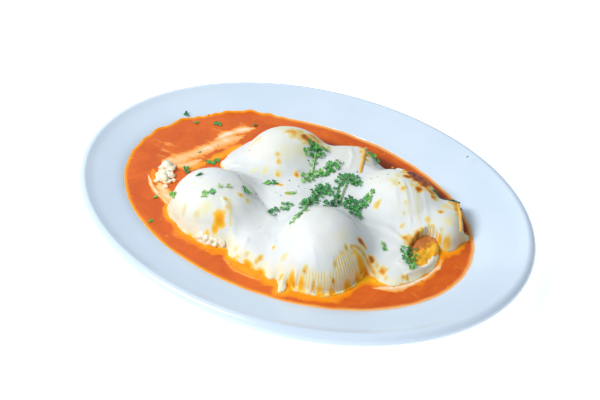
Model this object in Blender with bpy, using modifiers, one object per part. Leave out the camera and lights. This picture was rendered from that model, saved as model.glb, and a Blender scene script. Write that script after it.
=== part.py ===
"""Oval plate of baked stuffed pasta shells in tomato sauce, under a blanket of melted cheese.

Metres, +Z up. The origin is on the plate's flat foot, at the middle of the plate, and the plate's
long side runs along X. The food lies turned on the plate: its places are given as (along, away),
two level directions turned by SERVING_TURN from the plate's own X and Y.
"""

import math

import bmesh
import bpy
from mathutils import Vector, geometry, noise
from mathutils.bvhtree import BVHTree

MM = 0.001
GAP = 0.3 * MM
SNUG = 1.4 * GAP  # room round a shell or a curd, for what it is pressed into
COVER = 1.7 * GAP  # room over a shell, under the cheese

PLATE_HALF_LENGTH = 155.0 * MM
PLATE_HALF_WIDTH = 113.2 * MM
PLATE_HEIGHT = 26.0 * MM
LIP_RADIUS = 4.2 * MM
LIP_STEPS = 4
LIP_ARC = 80  # degrees below and above the lip's outermost line
RIM_WIDTH = 32.0 * MM
WALL = 4.6 * MM
FOOT_INSET = 50.0 * MM
FOOT_WIDTH = 6.0 * MM
FOOT_RECESS = 1.8 * MM
WELL_FLOOR = 7.0 * MM
WELL_SIDE = 17.0 * MM
WELL_SHIFT = Vector((-3.2, -2.0, 0.0)) * MM
WELL_TURN = math.radians(-2.5)  # the well lies a little turned in the plate
WELL_STEPS = 4
PLATE_SEGMENTS = 56

SAUCE_LEVEL = 16.0 * MM

SERVING_TURN = math.radians(29.3)
SHELL_SEGMENTS = 24
SHELL_RINGS = 5
FRONT_SEGMENTS = 104
RIDGE_DEPTH = 0.35 * MM
SHELL_BASE_SCALE = 0.84
HOLLOW_DEPTH = 7.5 * MM
SHARP_ANGLE = math.radians(50)

CHEESE_THICKNESS = 2.0 * MM
CHEESE_SIDE = 1.4 * MM
CHEESE_MELT = 6.0 * MM
CHEESE_EDGE = 5.0 * MM
CHEESE_SPACING = 6.2
CHEESE_EDGE_POINTS = 112

LEAF_THICKNESS = 0.7 * MM
LEAF_LIFT = 0.45 * MM
LEAF_REACH = 1.2 * MM
LEAF_GRID = 5
LOBE_DEPTH = 0.18
LEAF_WAVE = 0.5 * MM
CURD_PROPORTIONS = (1.15, 0.95, 0.85)
CURD_UNEVENNESS = 0.4

# Every shell: (name, along, away, half length, half width, turn in degrees, height of its top, squareness),
# in mm. Squareness 2 is a true egg, and more of it makes the shell boxier.
SHELLS = (
    ("shell_front", 15.0, -50.5, 31.0, 26.5, 90.0, 44.0, 2.0),
    ("shell_left", -51.5, -8.5, 31.0, 25.5, -38.0, 39.5, 2.1),
    ("shell_back", -7.5, 37.0, 28.5, 23.5, 4.0, 42.0, 2.0),
    ("shell_right", 66.0, -8.5, 29.0, 20.5, -45.0, 38.5, 2.3),
    ("shell_middle", 31.0, 28.0, 22.0, 16.5, 0.0, 31.0, 3.0),
    ("shell_end", 91.0, -26.5, 16.5, 12.5, 75.0, 30.0, 3.2),
    ("shell_side", 63.0, -52.0, 18.0, 17.0, 20.0, 21.0, 2.2),
)

# Two shells are open at one end: what is cut off there, as (corner, opposite corner, turn about the first),
# and the hollow in the end, as (along, away, half length, half width, turn, height of its middle).
OPEN_ENDS = {
    "shell_middle": ((38.8, 0.5, 0), (58.8, 60.5, 60), -10.0),
    "shell_end": ((98.8, -53.0, 0), (118.8, -3.0, 60), -4.0),
}
END_HOLLOWS = {
    "shell_middle": (45.0, 29.0, 7.0, 10.5, -10.0, 19.0),
    "shell_end": (101.0, -26.0, 6.0, 8.5, -4.0, 19.5),
}

# Low swells of cheese in the hollows between the shells, written as the shells are, without a name.
CHEESE_SWELLS = (
    (4.0, -8.0, 44.0, 28.0, 0.0, 30.0, 2.0),
    (34.0, -2.0, 28.0, 24.0, 0.0, 30.0, 2.0),
    (-24.0, -36.0, 29.0, 22.0, 60.0, 26.0, 2.0),
    (49.0, -46.0, 21.0, 19.0, 0.0, 24.5, 2.0),
    (76.0, -27.0, 19.0, 20.0, 0.0, 30.0, 2.0),
    (-36.0, 16.0, 22.0, 16.0, 0.0, 28.0, 2.0),
)

# The edge of the cheese, (along, away) in mm, anticlockwise from the left shell.
CHEESE_OUTLINE = (
    (-84, -6), (-80, -18), (-70, -28), (-58, -37), (-46, -42), (-41, -52), (-30, -60),
    (-20, -67), (-12, -78), (-7, -75), (1.6, -75), (8, -77), (12, -81), (15, -77.5), (19, -75.5),
    (24, -71), (28, -65), (31, -60), (36, -58.5), (40.5, -61), (44, -67), (49, -72), (56, -75.5),
    (63, -74.5), (70, -71), (77, -66), (83, -59), (87, -52), (88, -47), (93, -47), (99, -43),
    (105.5, -36), (105.5, -31), (102.5, -25), (103, -16), (100, -9.5), (93, -8), (89, -3), (86, 6),
    (80, 14), (71, 21), (63, 27), (56, 30), (50, 29), (46.5, 33), (46, 40), (42, 45), (34, 49),
    (24, 52), (14, 57), (-2, 61.5), (-16, 63), (-28, 62), (-37, 58), (-45, 50), (-50.5, 41), (-51, 32),
    (-54, 24), (-64, 20), (-74, 14), (-82, 4),
)

# The open mouth of the side shell: (along, away, half length, half width, turn, height of its middle).
MOUTH = (76.5, -51.0, 14.5, 8.5, 62.0, 21.5)
MOUTH_DEPTH = 3.6 * MM
FILLING_LEVEL = 20.0 * MM

# Sprigs of parsley on top: (name, along, away, half length, half width, turn, lobes).
SPRIGS = (
    ("parsley_back", 12.2, 29.0, 7.5, 5.5, 35.0, 5),
    ("parsley_stalk", 10.5, 19.5, 4.6, 1.3, 82.0, 2),
    ("parsley_low", 7.0, 8.5, 5.0, 4.5, 60.0, 5),
    ("parsley_wing", 19.5, 14.5, 6.5, 4.0, 20.0, 5),
    ("parsley_curl", 32.0, 7.0, 8.5, 7.0, -20.0, 6),
    ("parsley_branch", 26.5, -7.5, 5.0, 2.0, 75.0, 3),
    ("parsley_centre", 14.5, -4.0, 6.5, 4.2, 30.0, 5),
    ("parsley_heart", 8.5, -14.0, 7.0, 4.5, 35.0, 5),
    ("parsley_tail", -1.5, -40.0, 6.0, 2.8, 40.0, 4),
    ("parsley_dark", 21.0, -17.5, 5.5, 3.2, 5.0, 4),
    ("parsley_right", 36.0, -15.5, 7.5, 5.8, -50.0, 6),
    ("parsley_small", 45.5, -9.5, 4.6, 3.4, 50.0, 4),
    ("parsley_mouth", 67.0, -56.0, 7.5, 4.4, 75.0, 5),
    ("parsley_pair", -7.0, -17.5, 5.0, 3.8, 25.0, 4),
    ("parsley_leaf", -15.3, -22.0, 3.8, 3.2, 25.0, 4),
    ("parsley_edge", 98.0, -14.0, 4.8, 3.8, 0.0, 4),
)

# Single flakes of parsley: (along, away, half length, half width, turn).
FLAKES_ON_CHEESE = (
    (-62.8, -2.8, 3.2, 1.6, 15.0), (-55.4, -19.0, 4.8, 2.2, 0.0), (-31.6, -13.7, 3.4, 1.9, -60.0),
    (-17.4, 9.2, 4.4, 1.7, 5.0), (-2.9, -7.1, 4.8, 1.3, 0.0), (-79.0, -4.0, 3.2, 2.2, 60.0),
    (51.8, -49.5, 3.2, 1.9, -70.0),
)
FLAKES_ON_SAUCE = (
    (-57.8, 39.0, 4.2, 2.2, 20.0), (-75.7, 32.5, 2.8, 2.4, 70.0), (-93.0, 2.9, 2.8, 1.3, 50.0),
    (-93.6, -20.1, 2.8, 1.4, 40.0), (-73.3, 80.0, 2.8, 1.5, 0.0), (-58.1, 79.0, 3.0, 2.2, 30.0),
    (53.5, 43.0, 3.2, 2.4, -30.0),
)
FLAKE_HALF_THICKNESS = 0.8 * MM

# Curds of ricotta that came out of the left shell: (along, away, height of the middle, radius) in mm.
CURDS = {
    "ricotta_left": (
        (-89.0, 34.0, 17.6, 4.2), (-88.0, 28.0, 17.2, 3.4),
        (-90.0, 21.5, 17.5, 4.4), (-85.0, 24.5, 17.2, 3.2),
    ),
    "ricotta_front": (
        (-59.0, -36.8, 20.5, 3.0), (-54.5, -38.6, 20.0, 3.2),
        (-50.2, -40.4, 19.2, 3.0), (-46.2, -42.2, 18.8, 2.6),
    ),
}


def on_plate(along, away, height=0.0):
    """A place of the food, in mm along and away, as a point of the plate's frame."""
    cosine = math.cos(SERVING_TURN)
    sine = math.sin(SERVING_TURN)
    x = (along * cosine - away * sine) * MM
    y = (along * sine + away * cosine) * MM
    return Vector((x, y, height))


def empty_scene():
    for old in list(bpy.data.objects):
        bpy.data.objects.remove(old, do_unlink=True)
    parts = bpy.data.collections.new("stuffed_shells_on_plate")
    cutters = bpy.data.collections.new("cutters")
    bpy.context.scene.collection.children.link(parts)
    bpy.context.scene.collection.children.link(cutters)
    return parts, cutters


def principled(name, colour, roughness):
    material = bpy.data.materials.new(name)
    material.use_nodes = True
    shader = material.node_tree.nodes["Principled BSDF"]
    shader.inputs["Base Color"].default_value = (*colour, 1.0)
    shader.inputs["Roughness"].default_value = roughness
    material.diffuse_color = (*colour, 1.0)
    return material


def add_object(name, bm, material, collection, closed=True):
    """Turns a bmesh into an object with smooth faces, which point outwards if it is closed, and links it."""
    if closed:
        bmesh.ops.recalc_face_normals(bm, faces=bm.faces)
        if bm.calc_volume(signed=True) < 0:
            bmesh.ops.reverse_faces(bm, faces=bm.faces)
    mesh = bpy.data.meshes.new(name)
    bm.to_mesh(mesh)
    bm.free()
    mesh.materials.append(material)
    mesh.shade_smooth()
    mesh.set_sharp_from_angle(angle=SHARP_ANGLE)
    piece = bpy.data.objects.new(name, mesh)
    collection.objects.link(piece)
    return piece


def hide_cutter(cutter):
    cutter.hide_render = True
    cutter.display_type = "WIRE"


def evaluated_bmesh(piece):
    bm = bmesh.new()
    bm.from_object(piece, bpy.context.evaluated_depsgraph_get())
    return bm


def boolean(piece, cutter, operation="DIFFERENCE"):
    modifier = piece.modifiers.new(operation.lower(), "BOOLEAN")
    modifier.operation = operation
    modifier.object = cutter
    modifier.solver = "EXACT"


def apply_and_keep_largest(piece):
    """Applies the modifiers and drops scraps that the cuts left loose."""
    bm = evaluated_bmesh(piece)
    bmesh.ops.remove_doubles(bm, verts=bm.verts, dist=0.01 * MM)
    unseen = set(bm.verts)
    bodies = []
    while unseen:
        body = [unseen.pop()]
        for vert in body:
            for edge in vert.link_edges:
                other = edge.other_vert(vert)
                if other in unseen:
                    unseen.remove(other)
                    body.append(other)
        bodies.append(body)
    bodies.sort(key=len, reverse=True)
    for scrap in bodies[1:]:
        bmesh.ops.delete(bm, geom=scrap, context="VERTS")
    piece.modifiers.clear()
    bm.to_mesh(piece.data)
    bm.free()
    piece.data.shade_smooth()
    piece.data.set_sharp_from_angle(angle=SHARP_ANGLE)


def loft(sections, segments, close_start, close_end):
    """A bmesh through ellipses given as (half length, half width, centre x, centre y, height, turn)."""
    bm = bmesh.new()
    rings = []
    for half_length, half_width, centre_x, centre_y, height, turn in sections:
        ring = []
        for step in range(segments):
            angle = 2 * math.pi * step / segments
            x = half_length * math.cos(angle)
            y = half_width * math.sin(angle)
            turned_x = centre_x + x * math.cos(turn) - y * math.sin(turn)
            turned_y = centre_y + x * math.sin(turn) + y * math.cos(turn)
            ring.append(bm.verts.new((turned_x, turned_y, height)))
        rings.append(ring)
    for low, high in zip(rings, rings[1:]):
        for step in range(segments):
            after = (step + 1) % segments
            bm.faces.new((low[step], low[after], high[after], high[step]))
    if close_start:
        bm.faces.new(list(reversed(rings[0])))
    if close_end:
        bm.faces.new(rings[-1])
    return bm


def inset_ellipse(inset, height, shift=0.0):
    """The plate's own outline drawn in by a distance; shift goes from 0 at the lip to 1 in the well."""
    return (
        PLATE_HALF_LENGTH - inset,
        PLATE_HALF_WIDTH - inset,
        WELL_SHIFT.x * shift,
        WELL_SHIFT.y * shift,
        height,
        WELL_TURN * shift,
    )


def well_profile(clearance=0.0):
    """(inset, height) down the well's side, from the sauce's level to the floor."""
    rows = []
    for step in range(WELL_STEPS + 1):
        angle = 0.5 * math.pi * step / WELL_STEPS
        inset = RIM_WIDTH + clearance + WELL_SIDE * (1 - math.cos(angle))
        height = WELL_FLOOR + clearance + (SAUCE_LEVEL - WELL_FLOOR - clearance) * (1 - math.sin(angle))
        rows.append((inset, height))
    return rows


def make_plate(collection):
    """A pressed stoneware platter: foot ring, flared wall, rounded lip, sloping rim and a deep well."""
    lip_centre_height = PLATE_HEIGHT - LIP_RADIUS
    foot_outer = FOOT_INSET
    foot_inner = FOOT_INSET + FOOT_WIDTH
    sections = [
        inset_ellipse(foot_inner + 12 * MM, FOOT_RECESS),
        inset_ellipse(foot_inner, FOOT_RECESS),
        inset_ellipse(foot_inner, 0.0),
        inset_ellipse(foot_outer, 0.0),
        inset_ellipse(foot_outer - 1.0 * MM, 1.6 * MM),
        inset_ellipse(RIM_WIDTH + 4.0 * MM, 6.0 * MM),
        inset_ellipse(RIM_WIDTH - 9.0 * MM, SAUCE_LEVEL - WALL),
        inset_ellipse(LIP_RADIUS + 3.0 * MM, PLATE_HEIGHT - 2 * LIP_RADIUS),
    ]
    for step in range(LIP_STEPS + 1):
        angle = math.radians(LIP_ARC * (2 * step / LIP_STEPS - 1))
        inset = LIP_RADIUS * (1 - math.cos(angle))
        sections.append(inset_ellipse(inset, lip_centre_height + LIP_RADIUS * math.sin(angle)))
    sections.append(inset_ellipse(LIP_RADIUS + 3.4 * MM, PLATE_HEIGHT - 1.6 * MM, 0.1))
    sections.append(inset_ellipse(RIM_WIDTH - 5.0 * MM, SAUCE_LEVEL + 2.6 * MM, 0.8))
    for inset, height in well_profile():
        sections.append(inset_ellipse(inset, height, 1.0))
    bm = loft(sections, PLATE_SEGMENTS, close_start=True, close_end=True)
    glaze = principled("white_glaze", (0.78, 0.85, 0.90), 0.18)
    return add_object("plate", bm, glaze, collection)


def make_well_space(cutters, blank):
    """All the room inside the well and above it, just clear of the plate, to trim the shells to."""
    sections = []
    for inset, height in reversed(well_profile(GAP)):
        sections.append(inset_ellipse(inset, height, 1.0))
    sections.append(inset_ellipse(RIM_WIDTH, 3 * PLATE_HEIGHT, 1.0))
    bm = loft(sections, PLATE_SEGMENTS, close_start=True, close_end=True)
    space = add_object("well_space", bm, blank, cutters)
    hide_cutter(space)
    return space


def make_sauce(collection):
    """The pool of tomato sauce, from just above the well's floor up to its level."""
    sections = []
    for inset, height in reversed(well_profile(GAP)):
        sections.append(inset_ellipse(inset, height, 1.0))
    sections.append(inset_ellipse(RIM_WIDTH + 2.0 * MM, SAUCE_LEVEL, 1.0))
    bm = loft(sections, PLATE_SEGMENTS, close_start=True, close_end=True)
    sauce = principled("tomato_sauce", (0.72, 0.15, 0.03), 0.22)
    return add_object("tomato_sauce", bm, sauce, collection)


def shell_mesh(spec, grow=0.0, ridges=False):
    """A pasta shell lying on its mouth: half an egg on a flat foot, wider than the foot."""
    along, away, half_length, half_width, turn, top, squareness = spec
    segments = FRONT_SEGMENTS if ridges else SHELL_SEGMENTS
    bm = bmesh.new()
    bmesh.ops.create_uvsphere(bm, u_segments=segments, v_segments=2 * SHELL_RINGS, radius=1.0)
    bmesh.ops.delete(bm, geom=[vert for vert in bm.verts if vert.co.z < -0.01], context="VERTS")
    equator = [edge for edge in bm.edges if edge.is_boundary]
    made = bmesh.ops.extrude_edge_only(bm, edges=equator)["geom"]
    skirt = {item for item in made if isinstance(item, bmesh.types.BMVert)}
    for vert in skirt:
        vert.co.z = -1.0
    bmesh.ops.contextual_create(bm, geom=[edge for edge in bm.edges if edge.is_boundary])
    centre = on_plate(along, away)
    angle = SERVING_TURN + math.radians(turn)
    floor = WELL_FLOOR + 1.1 * GAP - grow
    height = top * MM - SAUCE_LEVEL + grow
    for vert in bm.verts:
        unit = Vector([math.copysign(abs(part) ** (2 / squareness), part) for part in vert.co])
        ridge = 0.0
        if ridges:
            step = round(math.atan2(unit.y, unit.x) / (2 * math.pi) * segments)
            ridge = RIDGE_DEPTH * (step % 2) * (1 - max(unit.z, 0.0) ** 4)
        scale = SHELL_BASE_SCALE if vert in skirt else 1.0
        x = unit.x * (half_length * MM + grow - ridge) * scale
        y = unit.y * (half_width * MM + grow - ridge) * scale
        z = floor if vert in skirt else SAUCE_LEVEL + unit.z * (height - ridge * unit.z)
        vert.co = (
            centre.x + x * math.cos(angle) - y * math.sin(angle),
            centre.y + x * math.sin(angle) + y * math.cos(angle),
            z,
        )
    return bm


def box_cutter(name, corner_low, corner_high, turn, material, cutters):
    """A box in the food's own directions, from one corner to the other, in mm, turned about the first."""
    bm = bmesh.new()
    bmesh.ops.create_cube(bm, size=1.0)
    angle = math.radians(turn)
    for vert in bm.verts:
        part = [(corner_low[i] + corner_high[i]) / 2 for i in range(3)]
        size = [corner_high[i] - corner_low[i] for i in range(3)]
        along = part[0] + vert.co.x * size[0] - corner_low[0]
        away = part[1] + vert.co.y * size[1] - corner_low[1]
        height = part[2] + vert.co.z * size[2]
        turned_along = corner_low[0] + along * math.cos(angle) - away * math.sin(angle)
        turned_away = corner_low[1] + along * math.sin(angle) + away * math.cos(angle)
        vert.co = on_plate(turned_along, turned_away, height * MM)
    cutter = add_object(name, bm, material, cutters)
    hide_cutter(cutter)
    return cutter


def egg(spec, depth, clip=None):
    """A smooth egg round a middle, clipped flat at a height if one is given."""
    along, away, half_length, half_width, turn, middle = spec
    bm = bmesh.new()
    bmesh.ops.create_uvsphere(bm, u_segments=16, v_segments=8, radius=1.0)
    centre = on_plate(along, away, middle * MM)
    angle = SERVING_TURN + math.radians(turn)
    for vert in bm.verts:
        x = vert.co.x * half_length * MM
        y = vert.co.y * half_width * MM
        z = centre.z + vert.co.z * depth
        vert.co = (
            centre.x + x * math.cos(angle) - y * math.sin(angle),
            centre.y + x * math.sin(angle) + y * math.cos(angle),
            z,
        )
    if clip is not None:
        everything = [*bm.verts, *bm.edges, *bm.faces]
        bmesh.ops.bisect_plane(
            bm, geom=everything, plane_co=(0, 0, clip), plane_no=(0, 0, 1), clear_outer=True
        )
        bmesh.ops.contextual_create(bm, geom=[edge for edge in bm.edges if edge.is_boundary])
    return bm


def make_shells(parts, cutters, pasta, sauce, blank):
    """Lays the shells one after another; each is cut back where it would run into one before it."""
    shells = {}
    snug_cutters = []
    cheese_cutters = []
    end_cuts = {
        name: box_cutter(name + "_end_cut", *corners_and_turn, blank, cutters)
        for name, corners_and_turn in OPEN_ENDS.items()
    }
    well_space = make_well_space(cutters, blank)
    for name, *spec in SHELLS:
        shell = add_object(name, shell_mesh(spec, ridges=name == "shell_front"), pasta, parts)
        boolean(shell, well_space, "INTERSECT")
        for other in snug_cutters:
            boolean(shell, other)
        if name in end_cuts:
            boolean(shell, end_cuts[name])
            hollow = add_object(name + "_hollow", egg(END_HOLLOWS[name], HOLLOW_DEPTH), blank, cutters)
            hide_cutter(hollow)
            boolean(shell, hollow)
        snug = add_object(name + "_clearance", shell_mesh(spec, grow=SNUG), blank, cutters)
        over = add_object(name + "_cover", shell_mesh(spec, grow=COVER), blank, cutters)
        for cutter in (snug, over):
            hide_cutter(cutter)
            if name in end_cuts:
                boolean(cutter, end_cuts[name])
        boolean(sauce, snug)
        snug_cutters.append(snug)
        cheese_cutters.append(over)
        shells[name] = shell
    return shells, cheese_cutters


def closed_curve(points, samples):
    """A smooth closed curve (Catmull-Rom) through (along, away) points."""
    count = len(points)
    curve = []
    for index in range(samples):
        place = index * count / samples
        corner = int(place)
        t = place - corner
        before, start, end, after = (Vector(points[(corner + k) % count]) for k in (-1, 0, 1, 2))
        curve.append(
            0.5 * (
                2 * start
                + (end - before) * t
                + (2 * before - 5 * start + 4 * end - after) * t ** 2
                + (3 * start - before - 3 * end + after) * t ** 3
            )
        )
    return curve


def dome_height(spec, along, away, side, thickness):
    """Height over the sauce of one dome of the cheese at a place, in metres; 0 beside it."""
    centre_along, centre_away, half_length, half_width, turn, top, squareness = spec
    angle = math.radians(turn)
    dx = along - centre_along
    dy = away - centre_away
    u = (dx * math.cos(angle) + dy * math.sin(angle)) * MM / (half_length * MM + side)
    v = (-dx * math.sin(angle) + dy * math.cos(angle)) * MM / (half_width * MM + side)
    inside = 1 - abs(u) ** squareness - abs(v) ** squareness
    if inside <= 0:
        return 0.0
    return (top * MM + thickness - SAUCE_LEVEL) * inside ** (1 / squareness)


def smooth_max(first, second, blend):
    """The greater of two heights, with the valley between them filled over a width."""
    near = max(blend - abs(first - second), 0.0) / blend
    return max(first, second) + near * near * blend / 4


def cheese_top(along, away, edge_distance):
    """Height of the melted cheese: the shells' domes with their valleys filled, thin at its edge."""
    height = 0.0
    bare = 0.0
    for _, *spec in SHELLS:
        height = smooth_max(height, dome_height(spec, along, away, CHEESE_SIDE, CHEESE_THICKNESS), CHEESE_MELT)
        bare = max(bare, dome_height(spec, along, away, 2 * GAP, 2 * GAP))
    for spec in CHEESE_SWELLS:
        height = smooth_max(height, dome_height(spec, along, away, 0.0, 0.0), CHEESE_MELT)
    height = max(height, bare + 0.8 * MM, 1.6 * MM)
    fullness = min(edge_distance / CHEESE_EDGE, 1.0)
    fullness = math.sqrt(fullness * (2 - fullness))
    lowest = max(bare, GAP) + 0.6 * MM
    return SAUCE_LEVEL + lowest + max(height - lowest, 0.0) * fullness


def points_inside(outline, spacing, margin):
    """Points on a triangular grid inside an outline, no nearer to it than a margin."""
    low = [min(point[axis] for point in outline) for axis in (0, 1)]
    high = [max(point[axis] for point in outline) for axis in (0, 1)]
    row_step = spacing * math.sqrt(3) / 2
    found = []
    for row in range(int((high[1] - low[1]) / row_step) + 1):
        for column in range(int((high[0] - low[0]) / spacing) + 1):
            place = Vector((low[0] + (column + 0.5 * (row % 2)) * spacing, low[1] + row * row_step))
            crossings = 0
            for start, end in zip(outline, outline[1:] + outline[:1]):
                if (start.y > place.y) != (end.y > place.y):
                    cross = start.x + (place.y - start.y) * (end.x - start.x) / (end.y - start.y)
                    crossings += cross > place.x
            if crossings % 2 and min((place - point).length for point in outline) > margin:
                found.append(place)
    return found


def make_cheese(parts, cutters_of_shells, mouth_cutter):
    """The blanket: a sheet of triangles up to the cheese's outline, with the shells cut out below."""
    outline = closed_curve(CHEESE_OUTLINE, CHEESE_EDGE_POINTS)
    edge_count = len(outline)
    places = outline + points_inside(outline, CHEESE_SPACING, 0.6 * CHEESE_SPACING)
    border = [(index, (index + 1) % edge_count) for index in range(edge_count)]
    points, _, triangles, *_ = geometry.delaunay_2d_cdt(places, border, [], 1, 1e-6)
    bm = bmesh.new()
    tops = []
    for place in points:
        distance = min((place - point).length for point in outline) * MM
        tops.append(bm.verts.new(on_plate(*place, cheese_top(*place, distance))))
    for corners in triangles:
        bm.faces.new([tops[corner] for corner in corners])
    made = bmesh.ops.extrude_edge_only(bm, edges=[edge for edge in bm.edges if edge.is_boundary])["geom"]
    for vert in made:
        if isinstance(vert, bmesh.types.BMVert):
            vert.co.z = SAUCE_LEVEL + GAP
    bmesh.ops.contextual_create(bm, geom=[edge for edge in bm.edges if edge.is_boundary])
    cheese_white = principled("melted_cheese", (0.90, 0.90, 0.84), 0.35)
    cheese = add_object("melted_cheese", bm, cheese_white, parts)
    for cutter in cutters_of_shells:
        boolean(cheese, cutter)
    boolean(cheese, mouth_cutter)
    return cheese


def surface_under(pieces):
    """A tree of the tops of pieces, to lay leaves on."""
    bm = bmesh.new()
    graph = bpy.context.evaluated_depsgraph_get()
    for piece in pieces:
        bm.from_object(piece, graph)
    tree = BVHTree.FromBMesh(bm)
    bm.free()
    return tree


def height_below(tree, x, y, around=0.0):
    """The highest surface at a place, or within a distance of it."""
    heights = []
    for step_x in (-around, 0.0, around):
        for step_y in (-around, 0.0, around):
            hit = tree.ray_cast(Vector((x + step_x, y + step_y, 0.2)), Vector((0, 0, -1)))[0]
            heights.append(hit.z if hit else SAUCE_LEVEL)
    return max(heights)


def make_sprig(spec, tree, green, parts):
    """A curled, lobed blade of parsley, thin and wavy, that lies on what is under it."""
    name, along, away, half_length, half_width, turn, lobes = spec
    bm = bmesh.new()
    bmesh.ops.create_grid(bm, x_segments=LEAF_GRID, y_segments=LEAF_GRID, size=1.0)
    centre = on_plate(along, away)
    angle = SERVING_TURN + math.radians(turn)
    for vert in bm.verts:
        u, v = vert.co.x, vert.co.y
        disc = Vector((u * math.sqrt(1 - v * v / 2), v * math.sqrt(1 - u * u / 2)))
        around = math.atan2(disc.y, disc.x)
        lobe = 1 - LOBE_DEPTH * (1 - math.cos(lobes * around))
        x = disc.x * half_length * MM * lobe
        y = disc.y * half_width * MM * lobe
        wave = LEAF_WAVE * disc.length * (1 + math.cos(2 * lobes * around))
        place_x = centre.x + x * math.cos(angle) - y * math.sin(angle)
        place_y = centre.y + x * math.sin(angle) + y * math.cos(angle)
        vert.co = (place_x, place_y, wave)
    lowest = height_below(tree, centre.x, centre.y) - half_length * MM
    for vert in bm.verts:
        vert.co.z += max(height_below(tree, vert.co.x, vert.co.y, LEAF_REACH), lowest) + LEAF_LIFT
    bmesh.ops.triangulate(bm, faces=bm.faces)
    leaf = add_object(name, bm, green, parts, closed=False)
    solidify = leaf.modifiers.new("leaf_thickness", "SOLIDIFY")
    solidify.thickness = LEAF_THICKNESS
    solidify.offset = 1.0
    return leaf


def fuse(piece, helpers):
    """Joins a collection of loose lumps into a piece by one union, then removes them."""
    modifier = piece.modifiers.new("union", "BOOLEAN")
    modifier.operation = "UNION"
    modifier.operand_type = "COLLECTION"
    modifier.collection = helpers
    modifier.solver = "EXACT"
    apply_and_keep_largest(piece)
    for helper in list(helpers.objects):
        bpy.data.objects.remove(helper, do_unlink=True)
    bpy.data.collections.remove(helpers)


def lump(name, centre, radii, turn, material, collection, unevenness=0.0, up=Vector((0, 0, 1))):
    """A small, uneven, rounded lump, turned about the vertical and then tilted to an upward direction."""
    bm = bmesh.new()
    bmesh.ops.create_icosphere(bm, subdivisions=1, radius=1.0)
    tilt = Vector((0, 0, 1)).rotation_difference(up)
    for vert in bm.verts:
        swell = 1 + unevenness * noise.noise(vert.co * 1.7 + centre * 900)
        x = vert.co.x * radii[0] * swell
        y = vert.co.y * radii[1] * swell
        turned = Vector(
            (
                x * math.cos(turn) - y * math.sin(turn),
                x * math.sin(turn) + y * math.cos(turn),
                vert.co.z * radii[2] * swell,
            )
        )
        vert.co = centre + tilt @ turned
    return add_object(name, bm, material, collection)


def helper_collection(name):
    helpers = bpy.data.collections.new(name)
    bpy.context.scene.collection.children.link(helpers)
    return helpers


def fuse_flakes(piece, flakes, green):
    """The single flakes of parsley, pressed halfway into a piece."""
    tree = surface_under([piece])
    helpers = helper_collection(piece.name + "_flakes")
    for index, (along, away, half_length, half_width, turn) in enumerate(flakes):
        above = on_plate(along, away, 2 * PLATE_HEIGHT)
        place, normal, *_ = tree.ray_cast(above, Vector((0, 0, -1)))
        radii = (half_length * MM, half_width * MM, FLAKE_HALF_THICKNESS)
        heading = SERVING_TURN + math.radians(turn)
        lump(f"flake_{index}", place, radii, heading, green, helpers, up=normal)
    fuse(piece, helpers)


def make_curds(name, curds, ricotta, blank, parts, cutters):
    """A few crumbs of ricotta stuck together, and the room that they take from what they are pressed into."""
    helpers = helper_collection(name + "_lumps")
    first = None
    for index, (along, away, middle, radius) in enumerate(curds):
        place = on_plate(along, away, middle * MM)
        radii = [radius * MM * part for part in CURD_PROPORTIONS]
        turn = 1.3 * index
        if first is None:
            first = lump(name, place, radii, turn, ricotta, parts, CURD_UNEVENNESS)
        else:
            lump(f"{name}_{index}", place, radii, turn, ricotta, helpers, CURD_UNEVENNESS)
        room = [part + SNUG for part in radii]
        hide_cutter(lump(f"{name}_room_{index}", place, room, turn, blank, cutters, CURD_UNEVENNESS))
    fuse(first, helpers)
    return first, [cutter for cutter in cutters.objects if cutter.name.startswith(name + "_room")]


def main():
    parts, cutters = empty_scene()
    pasta = principled("pasta", (0.88, 0.72, 0.36), 0.4)
    green = principled("parsley", (0.06, 0.26, 0.07), 0.5)
    ricotta = principled("ricotta", (0.90, 0.82, 0.64), 0.6)
    filling_orange = principled("shell_filling", (0.86, 0.36, 0.06), 0.3)
    blank = principled("cutter", (0.5, 0.5, 0.5), 0.5)

    plate = make_plate(parts)
    sauce = make_sauce(parts)
    shells, cheese_cutters = make_shells(parts, cutters, pasta, sauce, blank)

    mouth_cutter = add_object("mouth_clearance", egg(MOUTH, MOUTH_DEPTH), blank, cutters)
    hide_cutter(mouth_cutter)
    for name in ("shell_side", "shell_end", "shell_right"):
        boolean(shells[name], mouth_cutter)
    along, away, half_length, half_width, turn, middle = MOUTH
    snug_mouth = (along, away, half_length - 0.4, half_width - 0.4, turn, middle)
    filling_mesh = egg(snug_mouth, MOUTH_DEPTH - SNUG, clip=FILLING_LEVEL)
    filling = add_object("shell_filling", filling_mesh, filling_orange, parts)

    cheese = make_cheese(parts, cheese_cutters, mouth_cutter)
    curds = []
    for name, places in CURDS.items():
        curd, rooms = make_curds(name, places, ricotta, blank, parts, cutters)
        curds.append(curd)
        for room in rooms:
            for piece in (sauce, cheese, shells["shell_left"]):
                boolean(piece, room)
    for piece in (sauce, cheese, *shells.values()):
        apply_and_keep_largest(piece)
    fuse_flakes(cheese, FLAKES_ON_CHEESE, green)
    fuse_flakes(sauce, FLAKES_ON_SAUCE, green)

    below = [plate, sauce, filling, cheese, *shells.values(), *curds]
    for spec in SPRIGS:
        below.append(make_sprig(spec, surface_under(below), green, parts))


main()
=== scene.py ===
"""Baked stuffed pasta shells in tomato sauce under melted cheese, in a deep oval plate, with parsley.

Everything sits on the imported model's frame: metres, +Z up, the origin in the middle of the plate's foot.
Places of the food are given in mm as (along, away), two level directions that are turned by
SERVING_TURN from the plate's own long and short side.
"""

import math

import bmesh
import bpy
import numpy as np
from mathutils import Matrix, Vector, geometry, noise


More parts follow.
